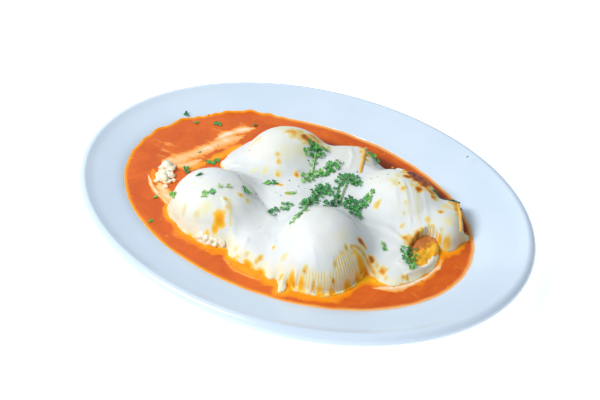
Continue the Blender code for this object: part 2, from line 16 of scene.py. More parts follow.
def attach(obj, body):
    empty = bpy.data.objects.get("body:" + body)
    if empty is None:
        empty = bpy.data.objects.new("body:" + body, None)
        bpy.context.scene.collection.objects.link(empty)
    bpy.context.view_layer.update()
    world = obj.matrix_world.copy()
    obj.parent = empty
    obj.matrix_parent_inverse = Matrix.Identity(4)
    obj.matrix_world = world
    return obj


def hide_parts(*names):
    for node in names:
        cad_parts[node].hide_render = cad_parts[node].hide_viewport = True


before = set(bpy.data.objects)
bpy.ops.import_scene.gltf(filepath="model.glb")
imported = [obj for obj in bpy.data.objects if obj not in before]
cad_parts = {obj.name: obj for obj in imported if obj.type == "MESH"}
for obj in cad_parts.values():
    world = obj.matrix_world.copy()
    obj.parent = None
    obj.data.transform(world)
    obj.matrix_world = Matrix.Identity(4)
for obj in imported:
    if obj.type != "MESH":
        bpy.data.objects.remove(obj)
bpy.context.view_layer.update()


# The table and the light. The plate stands on a seamless white table that is lit from inside, under a
# pale room, with a broad window in front of it to the left. The camera looks down at it as from a chair.

MM = 0.001
SERVING_TURN = math.radians(29.3)
VIEW_TURN = math.radians(29.33)
VIEW_TILT = math.radians(41.65)
VIEW_DISTANCE = 0.6076
VIEW_OFFSET = (0.0016, 0.0126)
LENS_MM = 55.0
SENSOR_MM = 36.0
TABLE_HALF = 3.0
TABLE_COLOUR = (0.93, 0.94, 0.95, 1.0)
TABLE_ROUGHNESS = 0.7
TABLE_GLOW = 0.58
WINDOW_COLOUR = (1.0, 0.985, 0.96)
ROOM_COLOUR = (0.86, 0.93, 1.0)
ROOM_STRENGTH = 0.39
LAMPS = (
    # name, side it stands on as shares of right, away and up, distance and size in m, watts, colour
    ("window", (-0.8, -0.26, 0.95), 1.4, 0.6, 16.5, WINDOW_COLOUR),
    ("far_window", (-0.3, 0.9, 0.9), 1.6, 0.9, 3.0, ROOM_COLOUR),
)


def facing(back, up=Vector((0, 0, 1))):
    """The turn of a camera or lamp whose back points along a direction."""
    right = up.cross(back).normalized()
    return Matrix((right, back.cross(right), back)).transposed()


def soft_lamp(name, back, distance, size, watts, colour):
    """A round soft lamp that stands back from the plate and shines at it."""
    lamp = bpy.data.objects.new(name, bpy.data.lights.new(name, "AREA"))
    lamp.data.shape = "DISK"
    lamp.data.size = size
    lamp.data.energy = watts
    lamp.data.color = colour
    back = back.normalized()
    lamp.matrix_world = Matrix.Translation(back * distance) @ facing(back).to_4x4()
    bpy.context.scene.collection.objects.link(lamp)


view_back = Vector((
    math.sin(VIEW_TURN) * math.cos(VIEW_TILT),
    -math.cos(VIEW_TURN) * math.cos(VIEW_TILT),
    math.sin(VIEW_TILT),
))
view_right = Vector((0, 0, 1)).cross(view_back).normalized()
view_up = view_back.cross(view_right)
camera = bpy.data.objects.new("camera", bpy.data.cameras.new("camera"))
camera.data.lens = LENS_MM
camera.data.sensor_width = SENSOR_MM
camera_place = view_back * VIEW_DISTANCE + view_right * VIEW_OFFSET[0] + view_up * VIEW_OFFSET[1]
camera.matrix_world = Matrix.Translation(camera_place) @ facing(view_back).to_4x4()
bpy.context.scene.collection.objects.link(camera)
bpy.context.scene.camera = camera
bpy.context.scene.view_settings.view_transform = "Standard"

level_away = Vector((-view_back.x, -view_back.y, 0.0)).normalized()
for name, (right, away, up), distance, size, watts, colour in LAMPS:
    side = view_right * right + level_away * away + Vector((0, 0, up))
    soft_lamp(name, side, distance, size, watts, colour)

world = bpy.data.worlds.new("pale_room")
world.use_nodes = True
world.node_tree.nodes["Background"].inputs["Color"].default_value = (*ROOM_COLOUR, 1.0)
world.node_tree.nodes["Background"].inputs["Strength"].default_value = ROOM_STRENGTH
bpy.context.scene.world = world

table_mesh = bmesh.new()
bmesh.ops.create_grid(table_mesh, x_segments=8, y_segments=8, size=TABLE_HALF)
table = bpy.data.objects.new("table", bpy.data.meshes.new("table"))
table_mesh.to_mesh(table.data)
table_mesh.free()
bpy.context.scene.collection.objects.link(table)
table_white = bpy.data.materials.new("table_white")
table_white.use_nodes = True
table_shader = table_white.node_tree.nodes["Principled BSDF"]
table_shader.inputs["Base Color"].default_value = TABLE_COLOUR
table_shader.inputs["Roughness"].default_value = TABLE_ROUGHNESS
table_shader.inputs["Emission Color"].default_value = (1.0, 1.0, 1.0, 1.0)
table_shader.inputs["Emission Strength"].default_value = TABLE_GLOW
table.data.materials.append(table_white)


# The plate is one piece of pressed stoneware: a foot ring, a flared wall, a fat rounded lip, a sloping
# rim and a deep well, all under one coat of cool white glaze. Its profile is swept round an oval.

HALF_LENGTH = 155.0
HALF_WIDTH = 113.2
PLATE_HEIGHT = 26.0
LIP_RADIUS = 4.2
RIM_WIDTH = 32.0
WELL_FLOOR = 7.0
WELL_SIDE = 17.0
WELL_SHIFT = (-3.2, -2.0)
WELL_TURN = math.radians(-2.5)
SAUCE_LEVEL = 16.0
SWEEP_STEPS = 288
WELD = 0.02
UNDERSIDE = (
    # inset from the oval, height: the recess under the plate, then the foot ring round it
    (HALF_WIDTH, 1.8), (68, 1.8), (58, 1.8), (56.5, 1.5), (56, 0.5), (55.4, 0), (50.8, 0), (50, 0.4),
    (49.4, 1.4),
)
WALL = ((49.4, 1.4), (47.5, 2.4), (34.5, 6), (21.5, 11.4), (7.2, 17.2))
WALL_STEPS = 6
LIP_TURN = (-72, 84)
LIP_POINTS = 22
RIM = (
    # inset, height, share of the well's shift and turn
    (4.9, 25.85, 0.02), (7.6, 24.5, 0.1), (11, 23.1, 0.25), (18, 21.0, 0.52), (26.5, 18.6, 0.8),
    (30.8, 16.9, 0.96), (32.0, 16.0, 1.0),
)
RIM_STEPS = 4
WELL_STEPS = 14
GLAZE_WHITE = ((0.63, 0.755, 0.90), (0.67, 0.79, 0.92))
PINHOLE_GREY = (0.25, 0.27, 0.29)
PINHOLES_A_METRE = 70.0


class Wire:
    """A socket in a node tree. Arithmetic on it adds Math nodes, or Vector Math for vectors."""

    def __init__(self, tree, socket=None):
        self.tree = tree
        self.socket = socket

    def node(self, kind, settings, sockets, output=0):
        """Adds one node: its settings, then the values or links of its sockets. Returns one output."""
        made = self.tree.nodes.new(kind)
        for name, value in settings.items():
            if name == "stops":
                ramp = made.color_ramp.elements
                while len(ramp) < len(value):
                    ramp.new(1.0)
                for stop, (position, colour) in zip(ramp, value):
                    stop.position = position
                    stop.color = (*colour, 1.0)
            else:
                setattr(made, name, value)
        for key, value in sockets.items():
            target = made.inputs[key]
            if isinstance(value, Wire):
                self.tree.links.new(value.socket, target)
            elif target.type == "RGBA" and len(value) == 3:
                target.default_value = (*value, 1.0)
            elif target.type == "VECTOR" and isinstance(value, (int, float)):
                target.default_value = (value, value, value)
            else:
                target.default_value = value
        return Wire(self.tree, made.outputs[output])

    def sum(self, operation, first, second):
        vector = any(isinstance(side, Wire) and side.socket.type == "VECTOR" for side in (first, second))
        kind = "ShaderNodeVectorMath" if vector else "ShaderNodeMath"
        return self.node(kind, {"operation": operation}, {0: first, 1: second})

    def __add__(self, other):
        return self.sum("ADD", self, other)

    def __radd__(self, other):
        return self.sum("ADD", other, self)

    def __sub__(self, other):
        return self.sum("SUBTRACT", self, other)

    def __rsub__(self, other):
        return self.sum("SUBTRACT", other, self)

    def __mul__(self, other):
        return self.sum("MULTIPLY", self, other)

    def __rmul__(self, other):
        return self.sum("MULTIPLY", other, self)

    def __truediv__(self, other):
        return self.sum("DIVIDE", self, other)

    def eased(self, low, high):
        """0 below low, 1 above high, smooth between."""
        settings = {"interpolation_type": "SMOOTHSTEP"}
        return self.node("ShaderNodeMapRange", settings, {"Value": self, "From Min": low, "From Max": high})

    def blend(self, first, second):
        """A colour between two, with this wire as the share of the second."""
        return self.node("ShaderNodeMix", {"data_type": "RGBA"}, {0: self, 6: first, 7: second}, 2)

    def layered(self, base, shades):
        """Lays colours over a base as this wire rises: each has its start, where it is full, and colour."""
        for low, high, colour in shades:
            base = self.eased(low, high).blend(base, colour)
        return base

    def ramp(self, *stops):
        return self.node("ShaderNodeValToRGB", {"stops": stops}, {0: self})

    def grain(self, scale, detail=2.0, roughness=0.5, distortion=0.0):
        """Noise at so many waves a metre, read at this place."""
        return self.node("ShaderNodeTexNoise", {}, {
            "Vector": self, "Scale": scale, "Detail": detail, "Roughness": roughness,
            "Distortion": distortion,
        })

    def bump(self, height_m, strength=1.0):
        return self.node("ShaderNodeBump", {}, {"Height": self, "Distance": height_m, "Strength": strength})


def finish(name, **constants):
    """A new material with its shader's constants. Returns it, its shader and the place on the piece."""
    material = bpy.data.materials.new(name)
    material.use_nodes = True
    shader = material.node_tree.nodes["Principled BSDF"]
    for key, value in constants.items():
        shader.inputs[key.replace("_", " ").title().replace("Ior", "IOR")].default_value = value
    place = Wire(material.node_tree).node("ShaderNodeTexCoord", {}, {}, "Object")
    return material, shader, place


def feed(shader, socket, wire):
    wire.tree.links.new(wire.socket, shader.inputs[socket])


def attribute(place, name):
    return place.node("ShaderNodeAttribute", {"attribute_name": name}, {}, "Fac")


def rounded(before, start, end, after, t):
    """A point of a smooth curve (Catmull-Rom) between start and end, with their neighbours."""
    return 0.5 * (
        2 * start + (end - before) * t + (2 * before - 5 * start + 4 * end - after) * t ** 2
        + (3 * start - before - 3 * end + after) * t ** 3
    )


def smooth_through(points, steps):
    """A smooth open curve through rows of numbers."""
    rows = np.array(points, float)
    rows = np.vstack((2 * rows[0] - rows[1], rows, 2 * rows[-1] - rows[-2]))
    curve = []
    for before, start, end, after in zip(rows, rows[1:], rows[2:], rows[3:]):
        curve += [rounded(before, start, end, after, t) for t in np.arange(steps) / steps]
    return np.array(curve + [rows[-2]])


def well_profile():
    """(inset, height, shift) down the well's side."""
    turn = np.linspace(0, math.pi / 2, WELL_STEPS)
    inset = RIM_WIDTH + WELL_SIDE * (1 - np.cos(turn))
    height = WELL_FLOOR + (SAUCE_LEVEL - WELL_FLOOR) * (1 - np.sin(turn))
    return np.column_stack((inset, height, np.ones(WELL_STEPS)))


def plate_profile():
    """(inset, height, shift) from the underside's middle, round the lip and in to the well's middle."""
    turn = np.radians(np.linspace(*LIP_TURN, LIP_POINTS))
    lip = np.column_stack((LIP_RADIUS * (1 - np.cos(turn)), PLATE_HEIGHT - LIP_RADIUS * (1 - np.sin(turn))))
    outside = np.vstack((UNDERSIDE, smooth_through(WALL, WALL_STEPS)[1:-1], lip))
    outside = np.column_stack((outside, np.zeros(len(outside))))
    rim = smooth_through(RIM, RIM_STEPS)[:-1]
    return np.vstack((outside, rim, well_profile(), [(HALF_WIDTH, WELL_FLOOR, 1)]))


def oval_point(inset, height, shift, angle):
    """A point of the plate, in mm, at an angle round the oval."""
    x = (HALF_LENGTH - inset) * np.cos(angle)
    y = (HALF_WIDTH - inset) * np.sin(angle)
    cosine = np.cos(WELL_TURN * shift)
    sine = np.sin(WELL_TURN * shift)
    x, y = x * cosine - y * sine, x * sine + y * cosine
    return x + WELL_SHIFT[0] * shift, y + WELL_SHIFT[1] * shift, height


def new_tree(name, inputs, output):
    """A geometry tree with named inputs and one output. Returns it, a loose wire and the input wires."""
    tree = bpy.data.node_groups.new(name, "GeometryNodeTree")
    for input_name, kind in inputs.items():
        tree.interface.new_socket(input_name, in_out="INPUT", socket_type="NodeSocket" + kind)
    tree.interface.new_socket(output, in_out="OUTPUT", socket_type="NodeSocketGeometry")
    entry = tree.nodes.new("NodeGroupInput")
    return tree, Wire(tree), {socket.name: Wire(tree, socket) for socket in entry.outputs if socket.name}


def end_tree(made, material):
    """Ends a geometry tree: its result becomes one real, smooth mesh of one material."""
    real = made.node("GeometryNodeRealizeInstances", {}, {"Geometry": made})
    smooth = made.node("GeometryNodeSetShadeSmooth", {}, {"Geometry": real})
    dressed = made.node("GeometryNodeSetMaterial", {}, {"Geometry": smooth, "Material": material})
    leave = made.tree.nodes.new("NodeGroupOutput")
    made.tree.links.new(dressed.socket, leave.inputs[0])


def plate_sweep_tree():
    """Sweeps a profile, given as points (inset, shift, height), round an oval with its two half axes."""
    tree, start, given = new_tree("plate_sweep", {
        "Profile": "Geometry", "Half Length": "Float", "Half Width": "Float", "Well Shift": "Vector",
        "Well Turn": "Float", "Steps Round": "Int", "Points": "Int", "Weld": "Float", "Glaze": "Material",
    }, "Plate")
    points = given["Points"]
    sheet = start.node("GeometryNodeMeshGrid", {}, {
        "Vertices X": given["Steps Round"] + 1, "Vertices Y": points,
    })
    number = start.node("GeometryNodeInputIndex", {}, {})
    step = start.node("ShaderNodeMath", {"operation": "FLOOR"}, {0: (number + 0.5) / points})
    row = number - step * points
    profile_place = start.node("GeometryNodeInputPosition", {}, {})
    profile_point = start.node("GeometryNodeSampleIndex", {"data_type": "FLOAT_VECTOR"}, {
        "Geometry": given["Profile"], "Value": profile_place, "Index": row,
    })
    inset = profile_point.node("ShaderNodeSeparateXYZ", {}, {0: profile_point})
    shift, height = (Wire(tree, output) for output in inset.socket.node.outputs[1:])
    angle = step * math.tau / given["Steps Round"]
    cosine = start.node("ShaderNodeMath", {"operation": "COSINE"}, {0: angle})
    sine = start.node("ShaderNodeMath", {"operation": "SINE"}, {0: angle})
    ring = start.node("ShaderNodeCombineXYZ", {}, {
        0: (given["Half Length"] - inset) * cosine, 1: (given["Half Width"] - inset) * sine, 2: height,
    })
    twisted = start.node("ShaderNodeVectorRotate", {"rotation_type": "Z_AXIS"}, {
        "Vector": ring, "Angle": given["Well Turn"] * shift,
    })
    moved = start.node("GeometryNodeSetPosition", {}, {
        "Geometry": sheet, "Position": twisted + given["Well Shift"] * shift,
    })
    welded = start.node("GeometryNodeMergeByDistance", {}, {"Geometry": moved, "Distance": given["Weld"]})
    end_tree(welded, given["Glaze"])
    return tree


def add_values(mesh, values):
    """Puts named values on the points of a mesh."""
    for name, numbers in values.items():
        layer = mesh.attributes.get(name) or mesh.attributes.new(name, "FLOAT", "POINT")
        layer.data.foreach_set("value", np.asarray(numbers, np.float32))


def add_piece(name, points_mm, faces, material, values=None):
    """A piece from points in mm and faces, smooth, with named values on its points."""
    mesh = bpy.data.meshes.new(name)
    places = (np.asarray(points_mm, float) * MM).tolist()
    mesh.from_pydata(places, [], [list(map(int, face)) for face in faces])
    add_values(mesh, values or {})
    mesh.materials.append(material)
    mesh.shade_smooth()
    piece = bpy.data.objects.new(name, mesh)
    bpy.context.scene.collection.objects.link(piece)
    return piece


def grown_mesh(piece, tree, settings):
    """Runs a geometry tree on a piece and keeps what it makes as the piece's plain mesh."""
    modifier = piece.modifiers.new("grow", "NODES")
    modifier.node_group = tree
    for socket in tree.interface.items_tree:
        if socket.in_out == "INPUT" and socket.name in settings:
            modifier[socket.identifier] = settings[socket.name]
    piece.update_tag()
    bpy.context.view_layer.update()
    evaluated = piece.evaluated_get(bpy.context.evaluated_depsgraph_get())
    mesh = bpy.data.meshes.new_from_object(evaluated, depsgraph=bpy.context.evaluated_depsgraph_get())
    piece.modifiers.clear()
    piece.data = mesh
    return piece


def face_outwards(piece):
    """Turns the faces of a closed piece outwards."""
    shape = bmesh.new()
    shape.from_mesh(piece.data)
    bmesh.ops.recalc_face_normals(shape, faces=shape.faces)
    if shape.calc_volume(signed=True) < 0:
        bmesh.ops.reverse_faces(shape, faces=shape.faces)
    shape.to_mesh(piece.data)
    shape.free()


white_glaze, glaze_shader, place = finish("white_glaze", roughness=0.16, ior=1.5, coat_roughness=0.05)
glaze_colour = place.grain(14.0, 3.0).eased(0.35, 0.7).blend(*GLAZE_WHITE)
pinhole = place.node("ShaderNodeTexVoronoi", {"feature": "F1"}, {"Vector": place, "Scale": PINHOLES_A_METRE})
speck = (1 - pinhole.eased(0.0, 0.035)) * place.grain(9.0).eased(0.60, 0.66)
feed(glaze_shader, "Base Color", speck.blend(glaze_colour, PINHOLE_GREY))
glaze_wave = place.grain(55.0, 2.0)
feed(glaze_shader, "Roughness", 0.13 + 0.09 * glaze_wave)
feed(glaze_shader, "Normal", glaze_wave.bump(0.00025, 0.35))

profile = plate_profile()
profile_points = profile[:, (0, 2, 1)].copy()
profile_points[:, 1] /= MM
plate = add_piece("glazed_plate", profile_points, [], white_glaze)
grown_mesh(plate, plate_sweep_tree(), {
    "Half Length": HALF_LENGTH * MM, "Half Width": HALF_WIDTH * MM,
    "Well Shift": (WELL_SHIFT[0] * MM, WELL_SHIFT[1] * MM, 0.0), "Well Turn": WELL_TURN,
    "Steps Round": SWEEP_STEPS, "Points": len(profile), "Weld": WELD * MM, "Glaze": white_glaze,
})
face_outwards(plate)
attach(plate, "root")
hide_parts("plate")


# The tomato sauce is a smooth, oily puree that fills the well. It creeps a little up the rim in a thin
# film, sags off the shells in an orange oily band, and holds streaks of cream and melted cheese.

SAUCE_STEPS_ROUND = 300
SAUCE_ROWS = 84
FILM_REACH = 0.7
SPLASH_REACH = 3.2
SPLASHED = ((-104, 40), (-96, 58), (-82, 74), (-66, 86), (-46, 94), (-20, 99), (2, 99))
FILM_THICKNESS = 0.35
CREAM_STREAKS = (
    # width, share of cream, thickness, then the streak's points (along, away)
    (5.6, 0.72, 0.4, ((-91, 40), (-82, 43), (-72, 49), (-63, 54), (-56, 58))),
    (5.0, 0.74, 0.4, ((-63, 55), (-55, 61), (-47, 65), (-39, 67))),
    (3.4, 0.8, 0.4, ((-58, 65), (-50, 71), (-40, 76), (-32, 78))),
    (1.8, 0.6, 0.2, ((-52, 63), (-44, 67), (-37, 70))),
    (2.8, 0.6, 0.3, ((-84, 35), (-75, 37), (-66, 42))),
    (1.2, 0.9, 0.5, ((-100, 26), (-98, 17), (-93, 9), (-88, 2), (-81, -6))),
    (4.0, 0.8, 0.4, ((-92, 18), (-88, 8), (-83, -1))),
    (1.3, 0.9, 0.4, ((44, -77), (51, -77.5), (58, -77), (67, -74.5), (76, -69), (84, -61), (88, -54))),
    (2.2, 0.6, 0.2, ((48, -76), (56, -78), (64, -77))),
    (1.0, 0.5, 0.2, ((-46, -50), (-40, -60), (-32, -66), (-22, -71))),
)
OIL_POOLS = (
    # width, strength, points (along, away)
    (5.5, 0.7, ((-80, -19), (-71, -30), (-61, -38), (-51, -44), (-44, -49))),
    (4.2, 0.9, ((-42, -52), (-36, -59), (-28, -64), (-19, -70), (-13, -75))),
    (3.0, 0.8, ((-12, -78), (-4, -81), (8, -84.5), (18, -86), (27, -82.5), (35, -77))),
    (4.2, 1.4, ((36, -74), (41, -69), (46, -71), (52, -74))),
    (3.4, 1.1, ((-60, 42), (-53, 47), (-46, 53), (-40, 59))),
    (3.0, 1.0, ((-78, 33), (-70, 35), (-62, 40))),
    (3.4, 0.8, ((-87, 38), (-80, 39), (-73, 42))),
    (2.6, 0.7, ((78, -67), (87, -55), (90, -48), (97, -46))),
    (3.0, 0.7, ((-98, 32), (-96, 22), (-91, 17))),
)
BRUSHED_TURN = math.radians(62.0)
BRUSHED_STRETCH = (0.22, 1.0, 1.0)
OIL_SEEP = 2.9
OIL_ROUND_FOOD = 1.15
SHADE_REACH = 8.5
FRONT_OF_FOOD = (18, 0.35, 26)
BACK_OF_FOOD = (52, 0.9, 24)
CREEP_ROUND = (9, 4.0)
FINE_CREEP_ROUND = (31, 9.0)
RELIEF_RISE = 5
HERBS_IN_SAUCE = ((-57.8, 39.0), (-93.0, 2.9), (-93.6, -20.1))
HERB_SWELL = 0.5
HERB_RADIUS = 3.0
SPLASH_WIDTH = 14.0
MIDDLE_GAP = 8.0
ROW_CROWDING = 1.6
SAUCE_RIPPLES = ((0.22, 17, 3.0), (0.1, 6, 8.0))
SEEP_RIPPLES = ((0.9, 10, 71.0), (0.5, 4, 75.0))
MENISCUS_HEIGHT = 0.45
MENISCUS_REACH = 1.6
FILM_FULL_AT = 1.2
FILM_FADE = 1.7
SAUCE_CLEARANCE = 0.35
SAUCE_LEAST = 0.6
SAUCE_RED = ((0.62, 0.10, 0.012), (0.76, 0.145, 0.016))
PULP_LIGHT = (0.86, 0.26, 0.03)
PULP_DARK = (0.45, 0.06, 0.01)
SAUCE_IN_SHADE = (0.26, 0.045, 0.02)
FILM_ORANGE = ((0.98, 0.36, 0.012), (0.93, 0.42, 0.12))
FILM_PALE = (0.93, 0.66, 0.36)
OIL_SHADES = (
    # how much oil it starts at and is full at, colour
    (0.16, 0.62, (0.95, 0.27, 0.008)),
    (0.6, 1.0, (0.97, 0.36, 0.010)),
    (1.0, 1.3, (1.0, 0.52, 0.012)),
)
CREAM_SHADES = (
    # how much cream it starts at and is full at, colour
    (0.12, 0.36, (0.95, 0.36, 0.06)),
    (0.34, 0.62, (0.95, 0.55, 0.24)),
    (0.66, 0.95, (0.94, 0.80, 0.60)),
)


def turned(along, away):
    """Food places, in mm, as the plate's own x and y."""
    along = np.asarray(along, float)
    away = np.asarray(away, float)
    cosine = math.cos(SERVING_TURN)
    sine = math.sin(SERVING_TURN)
    return along * cosine - away * sine, along * sine + away * cosine


def unturned(x, y):
    """The plate's own x and y as food places."""
    cosine = math.cos(SERVING_TURN)
    sine = math.sin(SERVING_TURN)
    return x * cosine + y * sine, -x * sine + y * cosine


def distance_to_line(along, away, points):
    """Distance of places from a polyline, and how far along it, from 0 to 1, the nearest point is."""
    nearest = np.full(np.shape(along), 1e9)
    share = np.zeros(np.shape(along))
    for index, (start, end) in enumerate(zip(points, points[1:])):
        step_along = end[0] - start[0]
        step_away = end[1] - start[1]
        length_squared = step_along ** 2 + step_away ** 2
        t = ((along - start[0]) * step_along + (away - start[1]) * step_away) / max(length_squared, 1e-9)
        t = np.clip(t, 0, 1)
        distance = np.hypot(along - start[0] - t * step_along, away - start[1] - t * step_away)
        closer = distance < nearest
        nearest = np.where(closer, distance, nearest)
        share = np.where(closer, (index + t) / (len(points) - 1), share)
    return nearest, share


def stroke(along, away, width, points):
    """1 on a line that tapers at its ends, falling to 0 beside it."""
    distance, share = distance_to_line(along, away, points)
    taper = np.clip(np.minimum(share, 1 - share) * 6, 0.35, 1)
    return np.exp(-(distance / (width * taper)) ** 2)


def waves(x, y, wavelength, seed, height=0.0):
    """Smooth noise from -1 to 1 at places in mm."""
    scaled = np.column_stack((
        np.ravel(x) / wavelength, np.ravel(y) / wavelength,
        np.broadcast_to(np.ravel(height) / wavelength, np.size(x)),
    ))
    values = [noise.noise(Vector(row) + Vector((seed, 2.7 * seed, 0.3))) for row in scaled.tolist()]
    return np.reshape(values, np.shape(x))


def rippled(start, x, y, ripples, height=0.0):
    """Adds waves to a value at places in mm. Each has a depth, a wavelength in mm and a seed."""
    for depth, wavelength, seed in ripples:
        start = start + depth * waves(x, y, wavelength, seed, height)
    return start


CHEESE_OUTLINE = (
    (-84, -6), (-83.5, -12), (-78, -19.5), (-73.5, -26.5), (-67.5, -32.5), (-61, -38), (-55, -41.8),
    (-47, -43.5), (-43, -45), (-41, -52), (-34.5, -56), (-28, -61.5), (-21, -65), (-17.5, -69.5),
    (-13, -69.5), (-11.5, -74), (-10.8, -80.5), (-6.5, -79), (-5.5, -74.5), (-2.5, -78.5), (1.5, -80.5),
    (8, -82.5), (14, -84.5), (20, -83), (28, -80), (34, -75.5), (38.5, -70.5), (41, -66), (44, -68),
    (49, -72.5), (56, -75.5), (63, -74.5), (70, -71), (77, -66), (83, -59), (86.5, -51), (86.8, -46.5),
    (92, -47), (97, -45), (101, -40.5), (103, -38.5), (106.5, -36), (106.5, -32.5), (102.0, -30.5),
    (101.0, -24), (101.4, -17), (100.8, -11.5), (96, -8), (90, -8.5), (89, -3), (87.5, 5), (81, 13),
    (73, 20.5), (66, 26), (60, 32), (54, 36), (49.5, 36.5), (47, 35), (46.4, 39), (45.8, 43.5), (38, 47),
    (27, 50), (14, 57), (-2, 61.5), (-16, 63), (-30, 62.5), (-36.5, 60.5), (-41, 56), (-46, 50),
    (-50.5, 42.5), (-52.5, 36.5), (-50, 28), (-55, 23), (-64, 21.5), (-72, 17.5), (-78, 11), (-81.5, 3),
)


def closed_curve(points, samples):
    """A smooth closed curve through points, evenly shared between them."""
    rows = np.array(points, float)
    count = len(rows)
    place = np.arange(samples) * count / samples
    corner = place.astype(int)
    t = (place - corner)[:, None]
    return rounded(*(rows[(corner + step) % count] for step in (-1, 0, 1, 2)), t)


def distance_to_points(along, away, points):
    """Distance of places from the nearest of many points."""
    nearest = np.full(len(along), 1e9)
    for start in range(0, len(along), 4000):
        part = slice(start, start + 4000)
        gaps = np.hypot(along[part, None] - points[None, :, 0], away[part, None] - points[None, :, 1])
        nearest[part] = gaps.min(axis=1)
    return nearest


def between_rings(rings, steps):
    """The quads between rings of points, each ring after the one before."""
    quads = []
    for low in range(0, (rings - 1) * steps, steps):
        for step in range(steps):
            after = (step + 1) % steps
            quads.append([low + step, low + after, low + steps + after, low + steps + step])
    return quads


def noise_round(radius, seed):
    """Smooth noise round the oval, with more waves the larger the radius."""
    places = ((radius * math.cos(angle), radius * math.sin(angle), seed) for angle in angles)
    return np.array([noise.noise(Vector(place)) for place in places])


upper_inset, upper_height, upper_shift = profile[int(np.argmax(profile[:, 1])):].T

angles = np.arange(SAUCE_STEPS_ROUND) * math.tau / SAUCE_STEPS_ROUND
creep = noise_round(*CREEP_ROUND)
fine_creep = noise_round(*FINE_CREEP_ROUND)
edge_x, edge_y, _ = oval_point(RIM_WIDTH, 0, 1, angles)
splash = stroke(*unturned(edge_x, edge_y), SPLASH_WIDTH, SPLASHED)
creeping = np.clip(0.55 + 0.9 * creep + 0.35 * fine_creep, 0.12, 1.6)
outer_inset = RIM_WIDTH - (FILM_REACH + SPLASH_REACH * splash) * creeping
row_share = np.linspace(0, 1, SAUCE_ROWS) ** ROW_CROWDING
insets = outer_inset[None, :] + row_share[:, None] * (HALF_WIDTH - MIDDLE_GAP - outer_inset[None, :])
plate_floor = np.interp(insets, upper_inset, upper_height)
shift = np.interp(insets, upper_inset, upper_shift)
sauce_x, sauce_y, _ = oval_point(insets, 0, shift, angles[None, :])
along, away = unturned(sauce_x, sauce_y)

cream = np.zeros_like(along)
relief = rippled(0, sauce_x, sauce_y, SAUCE_RIPPLES)
for width, share_of_cream, thickness, points in CREAM_STREAKS:
    here = stroke(along + 1.3 * waves(along, away, 7, width), away, width, points)
    cream = np.maximum(cream, share_of_cream * here)
    relief = relief + thickness * here
oil = np.zeros_like(along)
for width, strength, points in OIL_POOLS:
    oil = np.maximum(oil, strength * stroke(along, away, width, points))
food_foot = closed_curve(CHEESE_OUTLINE, 300)
foot_gap = distance_to_points(along.ravel(), away.ravel(), food_foot).reshape(along.shape)
start, lean, fade = FRONT_OF_FOOD
front_share = np.clip((start - away - lean * along) / fade, 0, 1)
start, lean, fade = BACK_OF_FOOD
back_share = np.clip((away + lean * along - start) / fade, 0, 1)
seeping = OIL_SEEP * rippled(1, along, away, SEEP_RIPPLES)
oil = np.maximum(oil, OIL_ROUND_FOOD * front_share * np.exp(-(foot_gap / seeping) ** 2))
shade = np.exp(-(foot_gap / SHADE_REACH) ** 2) * back_share
for herb_along, herb_away in HERBS_IN_SAUCE:
    herb_gap = (along - herb_along) ** 2 + (away - herb_away) ** 2
    relief = relief + HERB_SWELL * np.exp(-herb_gap / HERB_RADIUS ** 2)
edge = insets - outer_inset[None, :]
level = SAUCE_LEVEL + relief * np.clip((insets - RIM_WIDTH) / RELIEF_RISE, 0.1, 1)
meniscus = MENISCUS_HEIGHT * np.exp(-np.clip(insets - RIM_WIDTH, 0, None) / MENISCUS_REACH)
film = plate_floor + FILM_THICKNESS * np.sqrt(np.clip(edge / FILM_FULL_AT, 0, 1))
sauce_top = np.maximum(level + meniscus, film)
film_share = np.exp(-np.clip(edge, 0, None) / FILM_FADE)
far_side = np.clip(0.5 + 0.012 * along, 0, 1)
sauce_bottom = np.minimum(plate_floor - SAUCE_CLEARANCE, sauce_top - SAUCE_LEAST)

tops = np.column_stack((sauce_x.ravel(), sauce_y.ravel(), sauce_top.ravel()))
bottoms = np.column_stack((sauce_x.ravel(), sauce_y.ravel(), sauce_bottom.ravel()))
last_ring = (SAUCE_ROWS - 1) * SAUCE_STEPS_ROUND
lower = SAUCE_ROWS * SAUCE_STEPS_ROUND
faces = []
for quad in between_rings(SAUCE_ROWS, SAUCE_STEPS_ROUND):
    faces += [quad, [lower + corner for corner in reversed(quad)]]
for step in range(SAUCE_STEPS_ROUND):
    after = (step + 1) % SAUCE_STEPS_ROUND
    faces.append([step, lower + step, lower + after, after])
faces.append([last_ring + step for step in range(SAUCE_STEPS_ROUND)])
faces.append([lower + last_ring + step for step in reversed(range(SAUCE_STEPS_ROUND))])

tomato, tomato_shader, place = finish("tomato_sauce", roughness=0.3, ior=1.4, specular_ior_level=0.2)
pulp = place.grain(420.0, 4.0, 0.6)
swirl = place.grain(38.0, 4.0, 0.55, 0.8)
red = swirl.eased(0.3, 0.7).blend(*SAUCE_RED)
red = (0.6 * pulp.eased(0.60, 0.80)).blend(red, PULP_LIGHT)
red = (0.5 * pulp.eased(0.40, 0.28)).blend(red, PULP_DARK)
red = (0.92 * attribute(place, "shade").eased(0.0, 0.7)).blend(red, SAUCE_IN_SHADE)
oily = attribute(place, "oil") + 0.8 * (place.grain(130.0, 4.0) - 0.5)
red = oily.layered(red, OIL_SHADES)
film_colour = attribute(place, "far_side").blend(*FILM_ORANGE)
red = attribute(place, "film").layered(red, ((0.12, 0.55, film_colour), (0.7, 1.0, FILM_PALE)))
brushed = place.node("ShaderNodeMapping", {}, {
    "Vector": place, "Rotation": (0.0, 0.0, -BRUSHED_TURN), "Scale": BRUSHED_STRETCH,
})
streaky = attribute(place, "cream") + 0.8 * (brushed.grain(260.0, 4.0, 0.6) - 0.5)
streaky = streaky + 0.7 * (place.grain(70.0, 3.0) - 0.5)
feed(tomato_shader, "Base Color", streaky.layered(red, CREAM_SHADES))
